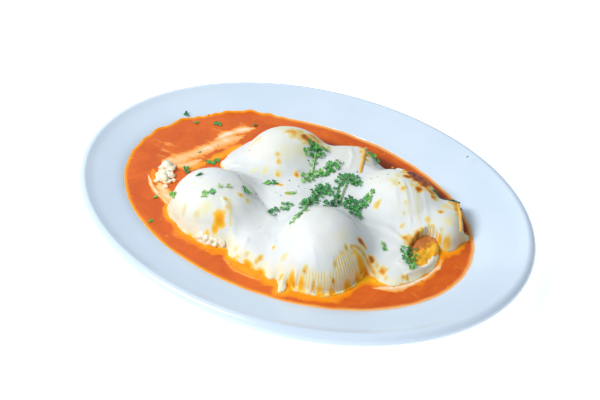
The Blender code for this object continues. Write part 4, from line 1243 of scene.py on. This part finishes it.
# Browning colours, also used for the painted shade of four spots.
browning_and_shade = attribute(place, "toast") + 1.1 * (attribute(place, "toast").eased(0.26, 0.5) * freckles)
feed(cheese_shader, "Base Color", browning_and_shade.eased(0.04, 0.24).blend(colour, browning_and_shade.ramp(*CRUST)))
feed(cheese_shader, "Roughness", 0.40 + 0.22 * milk)
feed(cheese_shader, "Normal", (0.6 * milk + 0.25 * curdling + 0.15 * place.grain(900.0)).bump(0.0007, 0.35))
blanket = add_piece("cheese_blanket", points, faces, cheese, {
    "toast": np.tile(toast, 2), "gold": np.tile(gold, 2), "edge": np.tile(edge_distance, 2),
    "thin": np.tile(thin, 2), "creamy": np.tile(creamy, 2), "hollow": np.tile(hollow, 2),
    "crest": np.tile(front_crest(along, away), 2), "showing": np.tile(showing(along, away), 2),
})
face_outwards(blanket)
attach(blanket, "root")
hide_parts("melted_cheese")


# The filling shows where the side shell's mouth is open: soft ricotta under a skin of orange oil and sauce,
# with painted shade at its back and left. It is spooned in, so it is lumpy and stands a little proud in the
# middle.

FILLING_LEVEL = 20.1
FILLING_LOWEST = 17.2
FILLING_DEPTH = 1.2
FILLING_MARGIN = 0.2
FILLING_RINGS = 16
FILLING_STEPS = 56
FILLING_LUMPS = ((1.5, 6.0, 41.0), (0.9, 2.6, 44.0))
FILLING_SLOPE = 0.22
FILLING_PILLOW = 0.7
FILLING_SINK = 1.8
FILLING_ORANGE = (
    (0.3, (0.88, 0.27, 0.012)), (0.45, (0.96, 0.42, 0.012)), (0.6, (0.98, 0.55, 0.03)),
    (0.72, (0.95, 0.80, 0.42)),
)
PAINTED_MOUTH_SHADE = (0.55, 0.17, 0.035)


def oval_disc(half_length, half_width, rings, steps):
    """Points and quads of a flat oval disc round the origin, with its middle last."""
    share = 1 - np.arange(rings) / rings
    turn = np.arange(steps) * math.tau / steps
    across = (share[:, None] * half_length * np.cos(turn)).ravel()
    upward = (share[:, None] * half_width * np.sin(turn)).ravel()
    faces = between_rings(rings, steps)
    middle = rings * steps
    for step in range(steps):
        faces.append([middle - steps + step, middle - steps + (step + 1) % steps, middle])
    return np.append(across, 0), np.append(upward, 0), faces


def closed_below(points, faces, border, depth):
    """Gives an open skin an underside, straight below it, and a side round its border."""
    below = points - np.array((0, 0, depth))
    count = len(points)
    under = [[count + corner for corner in reversed(face)] for face in faces]
    side = [[start, count + start, count + end, end] for start, end in zip(border, border[1:] + border[:1])]
    return np.vstack((points, below)), faces + under + side


centre_along, centre_away, half_length, half_width, turn, _ = MOUTH
across, upward, faces = oval_disc(
    half_length + FILLING_MARGIN, half_width + FILLING_MARGIN, FILLING_RINGS, FILLING_STEPS,
)
along, away = set_down(across, upward, centre_along, centre_away, math.radians(turn))
out_share = (across / half_length) ** 2 + (upward / half_width) ** 2
lumpy = rippled(0, along, away, FILLING_LUMPS)
slope = FILLING_SLOPE * np.clip(away - centre_away + 0.3 * (centre_along - along), -6, 14)
pillow = FILLING_PILLOW * np.clip(1 - out_share, 0, 1) ** 0.6
height = np.maximum(FILLING_LEVEL + lumpy + slope + pillow - FILLING_SINK * out_share ** 3, FILLING_LOWEST)
# Painted shade: darker towards the back and left of the mouth.
toasted = np.clip(0.5 + 0.09 * (away - centre_away) - 0.05 * (along - centre_along), 0, 1)
x, y = turned(along, away)
border = list(range(FILLING_STEPS))
points, faces = closed_below(np.column_stack((x, y, height)), faces, border, FILLING_DEPTH)

oily_filling, filling_shader, place = finish("shell_filling", roughness=0.24, ior=1.45)
lumps = place.grain(170.0, 4.0, 0.6)
# The painted shade of the mouth, mottled by noise.
mouth_shading = attribute(place, "toasted") + 1.1 * (place.grain(330.0, 4.0, 0.6) - 0.5)
orange = mouth_shading.eased(0.6, 0.95).blend(lumps.ramp(*FILLING_ORANGE), PAINTED_MOUTH_SHADE)
feed(filling_shader, "Base Color", orange)
feed(filling_shader, "Roughness", 0.18 + 0.25 * lumps)
feed(filling_shader, "Normal", lumps.bump(0.0006, 0.5))
filling = add_piece("oily_filling", points, faces, oily_filling, {"toasted": np.tile(toasted, 2)})
face_outwards(filling)
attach(filling, "root")
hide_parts("shell_filling")


# Crumbs of ricotta have come out of the left shell and lie at its foot. Each is a soft, uneven curd, a ball
# that is swelled at random and pressed flat, and it is wet with sauce low down.

CURDS = {
    # along, away, height of the middle, radius
    "ricotta_left": (
        (-89.0, 34.0, 17.8, 4.0), (-86.4, 31.2, 17.2, 3.0), (-90.0, 27.5, 17.2, 3.2),
        (-89.6, 21.5, 17.4, 4.2), (-85.2, 24.5, 17.0, 3.0), (-93.0, 25.0, 16.8, 2.4),
        (-86.5, 18.5, 16.8, 2.4), (-92.5, 33.0, 16.8, 2.0), (-84.5, 35.0, 16.6, 1.7),
        (-94.0, 19.0, 16.6, 1.7), (-87.5, 13.5, 16.6, 1.8), (-82.5, 20.0, 16.6, 1.6),
    ),
    "ricotta_front": (
        (-59.0, -36.3, 19.6, 2.6), (-55.8, -37.8, 19.4, 2.2), (-52.6, -38.8, 19.0, 2.5),
        (-49.4, -40.2, 18.8, 2.1), (-46.2, -41.6, 18.4, 2.3), (-57.4, -38.4, 17.8, 1.8),
        (-54.0, -40.2, 17.6, 1.9), (-50.6, -41.8, 17.2, 1.7), (-61.4, -35.6, 18.2, 1.7),
        (-47.8, -39.0, 20.0, 1.6),
    ),
}
CURD_STRETCH = (1.12, 0.95, 0.82)
CURD_WET_ABOVE = 0.6
CURD_WET_FADE = 1.1
RICOTTA_CREAM = ((0.93, 0.76, 0.46), (0.95, 0.92, 0.82))
RICOTTA_WET = (0.94, 0.50, 0.09)


def curd(centre, radius, seed):
    """Points (mm) and faces of one uneven curd."""
    ball = bmesh.new()
    bmesh.ops.create_icosphere(ball, subdivisions=4, radius=1.0)
    ball.verts.ensure_lookup_table()
    unit = np.array([tuple(vert.co) for vert in ball.verts])
    faces = [[vert.index for vert in face.verts] for face in ball.faces]
    ball.free()
    ripples = ((0.4, 1.1, seed), (0.12, 0.45, seed + 5))
    swell = rippled(1, unit[:, 0], unit[:, 1], ripples, unit[:, 2])
    return unit * swell[:, None] * np.array(CURD_STRETCH) * radius + np.array(centre), faces


ricotta, ricotta_shader, place = finish(
    "ricotta", roughness=0.42, subsurface_weight=0.2, subsurface_scale=0.002,
)
crumb = place.grain(520.0, 4.0, 0.65)
curd_colour = crumb.eased(0.36, 0.58).blend(*RICOTTA_CREAM)
soaked = attribute(place, "wet") + 0.6 * (place.grain(230.0, 3.0) - 0.5)
feed(ricotta_shader, "Base Color", soaked.eased(0.35, 0.9).blend(curd_colour, RICOTTA_WET))
feed(ricotta_shader, "Normal", crumb.bump(0.0005, 0.35))
for name, curds in CURDS.items():
    points = []
    faces = []
    for index, (curd_along, curd_away, middle, radius) in enumerate(curds):
        x, y = turned(curd_along, curd_away)
        curd_points, curd_faces = curd((float(x), float(y), middle), radius, 3.7 * index + len(name))
        start = sum(len(part) for part in points)
        points.append(curd_points)
        faces += [[start + corner for corner in face] for face in curd_faces]
    points = np.vstack(points)
    wetness = np.exp(-np.clip(points[:, 2] - SAUCE_LEVEL - CURD_WET_ABOVE, 0, None) / CURD_WET_FADE)
    crumbs = add_piece(name + "_crumbs", points, faces, ricotta, {"wet": wetness})
    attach(crumbs, "root")
    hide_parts(name)


# The parsley is chopped fresh: small sprigs of toothed leaflets on pale stalks, and loose leaflets and
# crumbs. Every leaflet is a thin blade, folded along its midrib and curled, that lies on what is below it.

LEAFLET_THICKNESS = 0.2
LEAFLET_LIFT = 0.2
LEAFLET_ROWS = 8
LEAFLET_COLUMNS = 13
LEAFLET_SAG = 2.2
LOBES = (3, 5)
LOBE_DEPTH = 0.42
LEAFLET_CURL = (-0.1, 0.4)
LEAFLET_RUFFLE = (0.04, 0.12)
LEAFLET_ROLL = 0.4
LEAFLET_LENGTH = (0.95, 1.3)
LEAFLET_SPREAD = (0.6, 0.9)
LEAFLET_RISE = (0.0, 1.2)
HEADING_SPREAD = 0.25
RIB_WIDTH = 0.16
STALK_TAPER = ((0, 0.08, 0.9, 1), (0.6, 1, 0.8, 0.4))
STALK_STEPS = 5
LEAFLETS_A_MM = 1.35
ROSETTE_HOLE = 0.12
ROSETTE_SEED = 700
LEAFLET_SEED = 900
SEEDS_A_SPRIG = 60
LOOSE_SEED = 5000
LOOSE_LIFT = 0.05
TONE_SPREAD = 0.18
RIM_SLOPE = 60
SPRIGS = {
    # tone from dark to light, then its rosettes: along, away, reach
    "parsley_back": (0.5, (
        (12.1, 26.4, 3.6), (12.4, 30.6, 3.4), (16.4, 29.3, 3.2), (7.0, 25.4, 3.0), (9.4, 32.4, 2.6),
        (15.6, 25.6, 2.2),
    )),
    "parsley_stalk": (0.75, ((9.9, 19.6, 2.0),)),
    "parsley_low": (0.72, (
        (7.6, 9.6, 3.2), (5.2, 5.0, 2.8), (10.6, 13.2, 2.8), (4.4, 10.8, 2.4), (8.6, 5.0, 2.2),
    )),
    "parsley_wing": (0.5, (
        (17.6, 13.4, 3.6), (23.2, 16.0, 3.4), (13.6, 11.6, 2.8), (20.6, 17.6, 2.6), (25.8, 18.6, 2.4),
        (21.0, 12.6, 2.4),
    )),
    "parsley_curl": (0.42, (
        (27.0, 2.6, 3.0), (29.4, 6.6, 3.2), (33.4, 7.6, 3.4), (37.0, 4.6, 3.2), (39.0, -0.2, 3.0),
        (33.4, 2.8, 3.0), (29.4, -0.8, 2.4), (36.6, 0.4, 2.4),
    )),
    "parsley_branch": (0.35, ((25.0, -5.2, 2.4), (24.4, -9.6, 2.2), (25.4, -13.4, 2.6), (27.0, -17.0, 2.2))),
    "parsley_centre": (0.4, (
        (15.0, -5.6, 3.8), (17.6, -2.4, 3.2), (11.2, -6.8, 3.0), (19.4, -6.8, 3.0), (13.4, -1.4, 2.6),
    )),
    "parsley_heart": (0.42, ((10.0, -14.8, 3.6), (6.2, -17.4, 3.4), (13.2, -11.6, 3.0), (3.0, -21.0, 2.8))),
    "parsley_tail": (0.6, ((3.2, -35.6, 2.6), (-0.2, -39.8, 2.6), (-2.8, -42.6, 1.8))),
    "parsley_dark": (0.12, ((20.4, -18.0, 3.2), (23.8, -16.8, 2.8), (17.4, -18.8, 2.4))),
    "parsley_right": (0.3, (
        (35.0, -17.4, 3.8), (31.6, -17.0, 3.2), (38.2, -16.2, 3.4), (35.6, -21.6, 3.0), (38.4, -25.6, 2.4),
        (32.4, -13.0, 2.6),
    )),
    "parsley_small": (0.6, ((43.2, -15.4, 3.0), (45.4, -12.4, 2.6), (41.0, -17.6, 2.0))),
    "parsley_mouth": (0.55, (
        (64.6, -53.4, 3.0), (66.4, -58.6, 3.4), (67.6, -63.6, 3.0), (69.6, -51.2, 2.4), (69.8, -57.2, 2.4),
    )),
    "parsley_pair": (0.5, ((-7.6, -19.4, 3.0), (-5.0, -18.4, 2.2))),
    "parsley_leaf": (0.25, ((-15.6, -22.8, 3.0),)),
    "parsley_edge": (0.08, ((101.2, -12.6, 3.0), (98.6, -11.8, 2.6), (95.6, -11.0, 1.8))),
}
STALKS = (
    # sprig, thickness, tone, points (along, away, height over what is below)
    ("parsley_stalk", 0.6, 0.85, ((12.0, 26.0, 1.2), (11.0, 20.5, 0.9), (9.6, 15.0, 0.8), (8.2, 11.5, 0.6))),
    ("parsley_branch", 0.55, 0.92, (
        (31.0, 0.0, 1.4), (28.6, -8.0, 1.1), (26.6, -14.5, 0.8), (25.6, -18.5, 0.6),
    )),
    ("parsley_branch", 0.45, 0.5, ((27.4, 1.0, 1.2), (25.6, -5.0, 1.0), (25.2, -12.0, 0.8))),
    ("parsley_small", 0.35, 0.6, ((43.5, -15.0, 0.8), (40.0, -18.5, 0.8), (37.0, -20.0, 0.8))),
    ("parsley_tail", 0.5, 0.85, (
        (7.0, -15.0, 0.8), (4.6, -26.0, 0.6), (1.6, -37.0, 0.6), (-2.0, -42.5, 0.5),
    )),
    ("parsley_centre", 0.4, 0.6, ((15.0, -5.6, 0.8), (12.6, -10.6, 0.7), (9.6, -15.6, 0.6))),
    ("parsley_edge", 0.6, 0.06, (
        (101.0, -12.4, 1.0), (96.0, -11.4, 0.9), (89.5, -10.6, 0.7), (85.0, -10.0, 0.5),
    )),
    ("parsley_right", 0.35, 0.4, ((36.0, -18.0, 0.6), (37.6, -23.0, 0.5), (39.4, -28.6, 0.4))),
)
LOOSE_LEAFLETS = (
    # along, away, half length, half width, turn, tone
    (-62.3, -1.9, 3.0, 1.9, 15.0, 0.5), (-58.0, -19.6, 2.8, 2.0, 15.0, 0.75),
    (-53.6, -18.4, 3.0, 2.2, -10.0, 0.6), (-31.6, -13.4, 3.6, 2.3, -60.0, 0.45),
    (-33.0, -11.0, 2.2, 1.5, 130.0, 0.6), (-20.0, 4.6, 3.2, 1.8, 5.0, 0.5),
    (-14.8, 4.2, 3.0, 1.8, 175.0, 0.35), (-4.8, -8.5, 4.6, 0.9, 0.0, 0.98),
    (-80.4, -6.0, 2.6, 1.9, 60.0, 0.9), (-78.8, -8.6, 2.4, 1.6, 100.0, 0.8),
    (51.8, -49.0, 2.6, 1.6, -70.0, 0.62), (52.6, -52.4, 2.2, 1.5, -110.0, 0.5),
    (-43.0, -14.4, 2.6, 1.0, 8.0, 1.0), (-47.6, -14.6, 2.4, 0.9, 170.0, 0.97),
    (-67.0, 15.5, 2.0, 1.2, 20.0, 0.35), (-58.8, 38.4, 3.2, 2.3, 20.0, 0.6),
    (-55.2, 40.6, 2.8, 2.0, 130.0, 0.45), (-61.6, 40.0, 2.2, 1.6, 80.0, 0.7),
    (-75.7, 32.5, 2.8, 2.0, 70.0, 0.6), (-74.5, 29.0, 2.4, 1.7, 100.0, 0.4),
    (-93.0, 2.9, 2.8, 1.4, 50.0, 0.85), (-93.6, -20.1, 2.6, 1.0, 40.0, 0.7),
    (-73.3, 84.4, 2.4, 1.5, 0.0, 0.45), (-59.0, 83.6, 2.8, 1.9, 30.0, 0.4),
    (-56.2, 82.0, 2.4, 1.7, 120.0, 0.35), (-81.0, 91.0, 2.2, 1.5, 20.0, 0.3),
    (-30.7, 80.8, 2.0, 1.3, 60.0, 0.45), (-68.3, 50.5, 1.7, 1.1, 10.0, 0.45),
    (50.4, 31.0, 3.0, 2.1, -30.0, 0.75), (47.8, 33.4, 2.4, 1.6, 60.0, 0.6),
    (53.0, 29.0, 2.2, 1.6, 10.0, 0.5), (112.7, 28.0, 0.8, 0.6, 0.0, 0.1),
)
PARSLEY_GREEN = (
    # tone, colour
    (0.0, (0.008, 0.11, 0.052)), (0.3, (0.02, 0.26, 0.075)), (0.55, (0.075, 0.40, 0.08)),
    (0.75, (0.22, 0.58, 0.10)), (1.0, (0.58, 0.76, 0.38)),
)
RIB_GREEN = (0.30, 0.58, 0.18)
VEIN_GREEN = (0.02, 0.16, 0.045)


def food_height(along, away):
    """The top of the food or the plate, in mm over the table, at places in mm."""
    along = np.atleast_1d(np.asarray(along, float))
    away = np.atleast_1d(np.asarray(away, float))
    x, y = turned(along, away)
    across = (x - WELL_SHIFT[0]) / (HALF_LENGTH - RIM_WIDTH)
    upward = (y - WELL_SHIFT[1]) / (HALF_WIDTH - RIM_WIDTH)
    on_rim = np.clip(np.hypot(across, upward) - 1, 0, None)
    ground = SAUCE_LEVEL + bare_height(along, away) + on_rim * RIM_SLOPE
    inside = within(along, away, cheese_edge)
    edge = distance_to_points(along, away, cheese_edge)
    return np.where(inside, np.maximum(cheese_height(along, away, edge), ground), ground)


def leaflet(length, spread, lobes, curl, ruffle, seed):
    """A lobed, fan-shaped blade from its foot at the origin along +x: rows of points (mm), quads."""
    t = np.linspace(0.1, 1, LEAFLET_ROWS)[:, None]
    s = np.linspace(-1, 1, LEAFLET_COLUMNS)[None, :]
    lobe = np.abs(np.cos(0.5 * math.pi * lobes * s)) ** 0.7
    reach = length * t * (1 - (LOBE_DEPTH - LOBE_DEPTH * lobe) * t ** 2) * (1 - 0.25 * s ** 2)
    angle = spread * s * (0.45 + 0.55 * t)
    rise = curl * length * t ** 2 * (0.4 + 0.6 * s ** 2)
    crimp = np.sin(4.2 * s * lobes / 3 + seed) + 0.5 * np.sin(6 * t + 2 * s + 2 * seed)
    rise = rise + ruffle * length * t * crimp
    faces = []
    for row in range(LEAFLET_ROWS - 1):
        for column in range(LEAFLET_COLUMNS - 1):
            low = row * LEAFLET_COLUMNS + column
            faces.append([low, low + LEAFLET_COLUMNS, low + LEAFLET_COLUMNS + 1, low + 1])
    rib = np.exp(-(s / RIB_WIDTH) ** 2) * (1 - 0.6 * t) + 0.5 * (1 - t) ** 2
    return (reach * np.cos(angle)).ravel(), (reach * np.sin(angle)).ravel(), rise.ravel(), rib.ravel(), faces


def laid_leaflet(along, away, heading, length, spread, lift, tone, seed):
    """A leaflet on the food, its foot at (along, away): points (mm), quads, rib and tone."""
    rng = np.random.default_rng(seed)
    ahead, aside, rise, rib, faces = leaflet(
        length, spread, rng.integers(*LOBES), rng.uniform(*LEAFLET_CURL), rng.uniform(*LEAFLET_RUFFLE), seed,
    )
    roll = rng.uniform(-LEAFLET_ROLL, LEAFLET_ROLL)
    tipped = rise + aside * math.sin(roll)
    aside = aside * math.cos(roll)
    along, away = set_down(ahead, aside, along, away, heading)
    ground = food_height(along, away)
    level = np.maximum(ground, ground.max() - LEAFLET_SAG)
    height = level + LEAFLET_LIFT + lift + tipped - tipped.min()
    x, y = turned(along, away)
    shade = np.clip(tone + rng.uniform(-TONE_SPREAD, TONE_SPREAD), 0, 1)
    return np.column_stack((x, y, height)), faces, rib, np.full(len(rib), shade)


def stalk(points_above, thickness):
    """A round stalk through places with a height over what is below, tapering to its tips."""
    line = smooth_through(points_above, STALK_STEPS)
    ground = food_height(line[:, 0], line[:, 1])
    x, y = turned(line[:, 0], line[:, 1])
    spine = np.column_stack((x, y, ground + line[:, 2]))
    taper = np.interp(np.linspace(0, 1, len(line)), *STALK_TAPER)
    return cord(spine, thickness * taper)


class Heap:
    """Collects blades and tubes into one mesh."""

    def __init__(self):
        self.points = []
        self.faces = []
        self.ribs = []
        self.tones = []
        self.count = 0

    def add(self, points, faces, rib, tone):
        self.faces += [[self.count + corner for corner in face] for face in faces]
        self.points.append(points)
        self.ribs.append(rib)
        self.tones.append(tone)
        self.count += len(points)

    def add_blade(self, points, faces, rib, tone):
        """Adds a blade as a thin closed solid."""
        rows, columns = LEAFLET_ROWS, LEAFLET_COLUMNS
        border = list(range(columns))
        border += [row * columns + columns - 1 for row in range(1, rows)]
        border += [(rows - 1) * columns + column for column in reversed(range(columns - 1))]
        border += [row * columns for row in reversed(range(1, rows - 1))]
        solid, closed = closed_below(points, faces, border, LEAFLET_THICKNESS)
        self.add(solid, closed, np.tile(rib, 2), np.tile(tone, 2))

    def piece(self, name, material):
        return add_piece(name, np.vstack(self.points), self.faces, material, {
            "rib": np.concatenate(self.ribs), "tone": np.concatenate(self.tones),
        })


parsley, parsley_shader, place = finish("parsley", roughness=0.38, ior=1.4)
vein = place.grain(900.0, 2.0)
toned = attribute(place, "tone") + 0.30 * (place.grain(420.0, 3.0) - 0.5)
green = (0.6 * attribute(place, "rib")).blend(toned.ramp(*PARSLEY_GREEN), RIB_GREEN)
feed(parsley_shader, "Base Color", (0.3 * vein.eased(0.45, 0.7)).blend(green, VEIN_GREEN))
feed(parsley_shader, "Roughness", 0.3 + 0.25 * vein)
feed(parsley_shader, "Normal", vein.bump(0.0003, 0.5))

for number, (name, (tone, rosettes)) in enumerate(SPRIGS.items()):
    rng = np.random.default_rng(ROSETTE_SEED + number)
    sprig = Heap()
    for along, away, reach in rosettes:
        leaflets = int(round(LEAFLETS_A_MM * reach))
        first_heading = rng.uniform(0, math.tau)
        for index in range(leaflets):
            jitter = rng.uniform(-HEADING_SPREAD, HEADING_SPREAD)
            heading = first_heading + (index + jitter) * math.tau / leaflets
            inset = ROSETTE_HOLE * reach
            length = reach * rng.uniform(*LEAFLET_LENGTH)
            seed = LEAFLET_SEED + len(sprig.points) + SEEDS_A_SPRIG * number
            sprig.add_blade(*laid_leaflet(
                along + inset * math.cos(heading), away + inset * math.sin(heading), heading, length,
                rng.uniform(*LEAFLET_SPREAD), rng.uniform(*LEAFLET_RISE), tone, seed,
            ))
    for owner, thickness, stalk_tone, line in STALKS:
        if owner == name:
            points, faces = stalk(line, thickness)
            sprig.add(points, faces, np.zeros(len(points)), np.full(len(points), stalk_tone))
    sprig = sprig.piece(name + "_sprig", parsley)
    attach(sprig, "root")
    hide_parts(name)

loose = Heap()
for number, (along, away, half_length, half_width, turn, tone) in enumerate(LOOSE_LEAFLETS):
    heading = math.radians(turn)
    foot = (along - half_length * math.cos(heading), away - half_length * math.sin(heading))
    spread = math.atan2(half_width, half_length)
    loose.add_blade(*laid_leaflet(
        *foot, heading, 2 * half_length, spread, LOOSE_LIFT, tone, LOOSE_SEED + number,
    ))
loose = loose.piece("loose_leaflets", parsley)
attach(loose, "root")


# The rims of the two open shells stand out of the cheese, uncovered and orange from the oil. Each is the
# rolled edge of the pasta: a cord that follows the shell's open end from foot to foot, with a slight ripple.

LIP_RIPPLE = ((1.3, 7.0, 27.0),)
LIP_SWELL = ((0.25, 3.0, 14.0),)
LIP_WETNESS = 0.55

for name, (_, _, turn) in OPEN_ENDS.items():
    spine = lip_spine(name)
    spine_along, spine_away = unturned(spine[:, 0], spine[:, 1])
    spine[:, 2] = np.maximum(spine[:, 2], food_height(spine_along, spine_away) + LIP_LIFT)
    facing_out = SERVING_TURN + math.radians(turn)
    ripple = rippled(0, spine[:, 0], spine[:, 1], LIP_RIPPLE, spine[:, 2])
    spine[:, 0] += ripple * math.cos(facing_out)
    spine[:, 1] += ripple * math.sin(facing_out)
    swell = rippled(1, spine[:, 0], spine[:, 1], LIP_SWELL, spine[:, 2])
    points, faces = cord(spine, ROLLED_LIP_RADIUS * swell, (math.cos(facing_out), math.sin(facing_out), 0.0))
    zeros = np.zeros(len(points))
    lip = add_piece(name + "_lip", points, faces, pasta, {
        "crest": zeros, "wet": zeros + LIP_WETNESS, "filled": zeros,
    })
    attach(lip, "root")


# Finely chopped crumbs of parsley lie thinly over the middle of the cheese, and beads of orange oil float
# round the food. Both are strewn over the surface below them by one tree.

CRUMBS = {"Bits Per Square Metre": 14000.0, "Smallest": 0.5 * MM, "Largest": 1.3 * MM, "Flatness": 0.35,
          "Sinking": 0.0, "Seed": 5}
CRUMB_MIDDLE = (18, -4)
CRUMB_REACH = (38, 26)
BEADS = {"Bits Per Square Metre": 26000.0, "Smallest": 0.5 * MM, "Largest": 1.9 * MM, "Flatness": 0.22,
         "Sinking": -0.08 * MM, "Seed": 9}
BEADS_EVERYWHERE = 0.04
BEADS_IN_OIL = 1.2
BEAD_ORANGE = ((0.90, 0.24, 0.01), (0.95, 0.42, 0.02))
BIT_TILT = 0.25
BIT_LENGTHS = (0.6, 1.5)


def strewing_tree():
    """Strews small bits over the faces whose value zone is high, and keeps only the bits."""
    tree, start, given = new_tree("strewing", {
        "Surface": "Geometry", "Bits Per Square Metre": "Float", "Smallest": "Float", "Largest": "Float",
        "Flatness": "Float", "Sinking": "Float", "Seed": "Int", "Finish": "Material",
    }, "Bits")
    zone = start.node("GeometryNodeInputNamedAttribute", {"data_type": "FLOAT"}, {"Name": "zone"})
    spots = start.node("GeometryNodeDistributePointsOnFaces", {}, {
        "Mesh": given["Surface"], "Density": zone * given["Bits Per Square Metre"], "Seed": given["Seed"],
    })
    upright = Wire(tree, spots.socket.node.outputs["Rotation"])
    spin = start.node("FunctionNodeRandomValue", {"data_type": "FLOAT_VECTOR"}, {
        0: (-BIT_TILT, -BIT_TILT, 0.0), 1: (BIT_TILT, BIT_TILT, math.tau), "Seed": given["Seed"],
    })
    turned_bits = start.node("FunctionNodeRotateRotation", {"rotation_space": "LOCAL"}, {
        0: upright, 1: spin,
    })
    size = start.node("FunctionNodeRandomValue", {"data_type": "FLOAT"}, {
        2: given["Smallest"], 3: given["Largest"], "Seed": given["Seed"] + 1,
    }, 1)
    longer = start.node("FunctionNodeRandomValue", {"data_type": "FLOAT"}, {
        2: BIT_LENGTHS[0], 3: BIT_LENGTHS[1], "Seed": given["Seed"] + 2,
    }, 1)
    bit = start.node("GeometryNodeMeshIcoSphere", {}, {"Radius": 0.5, "Subdivisions": 2})
    proportions = start.node("ShaderNodeCombineXYZ", {}, {
        0: size * longer, 1: size, 2: size * given["Flatness"],
    })
    placed = start.node("GeometryNodeInstanceOnPoints", {}, {
        "Points": spots, "Instance": bit, "Rotation": turned_bits, "Scale": proportions,
    })
    sunk = start.node("ShaderNodeCombineXYZ", {}, {2: given["Sinking"]})
    lowered = start.node("GeometryNodeTranslateInstances", {}, {"Instances": placed, "Translation": sunk})
    end_tree(lowered, given["Finish"])
    return tree


def strewn(name, surface, zone, settings, values):
    """A piece of bits strewn over a surface, by how high zone is on each of its points."""
    bits = bpy.data.objects.new(name, surface.data.copy())
    bpy.context.scene.collection.objects.link(bits)
    add_values(bits.data, {"zone": zone})
    grown_mesh(bits, strewing, settings)
    add_values(bits.data, {key: np.full(len(bits.data.vertices), value) for key, value in values.items()})
    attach(bits, "root")


strewing = strewing_tree()
top_only = np.concatenate((np.ones(count), np.zeros(count)))
blanket_along, blanket_away = unturned(*(np.array([v.co[:2] for v in blanket.data.vertices]).T / MM))
crumb_along = (blanket_along - CRUMB_MIDDLE[0]) / CRUMB_REACH[0]
crumb_away = (blanket_away - CRUMB_MIDDLE[1]) / CRUMB_REACH[1]
near_sprigs = np.exp(-(crumb_along ** 2 + crumb_away ** 2))
crumbs = CRUMBS | {"Finish": parsley}
strewn("parsley_crumbs", blanket, top_only * near_sprigs, crumbs, {"tone": 0.35, "rib": 0.0})

oil_film, oil_shader, place = finish("oil_beads", roughness=0.08, ior=1.46)
feed(oil_shader, "Base Color", place.grain(300.0, 2.0).eased(0.35, 0.65).blend(*BEAD_ORANGE))
sauce_zone = np.clip(oil.ravel() * BEADS_IN_OIL, 0, 1) + BEADS_EVERYWHERE
sauce_zone = np.concatenate((sauce_zone, np.zeros(oil.size)))
strewn("oil_beads", sauce, sauce_zone, BEADS | {"Finish": oil_film}, {})

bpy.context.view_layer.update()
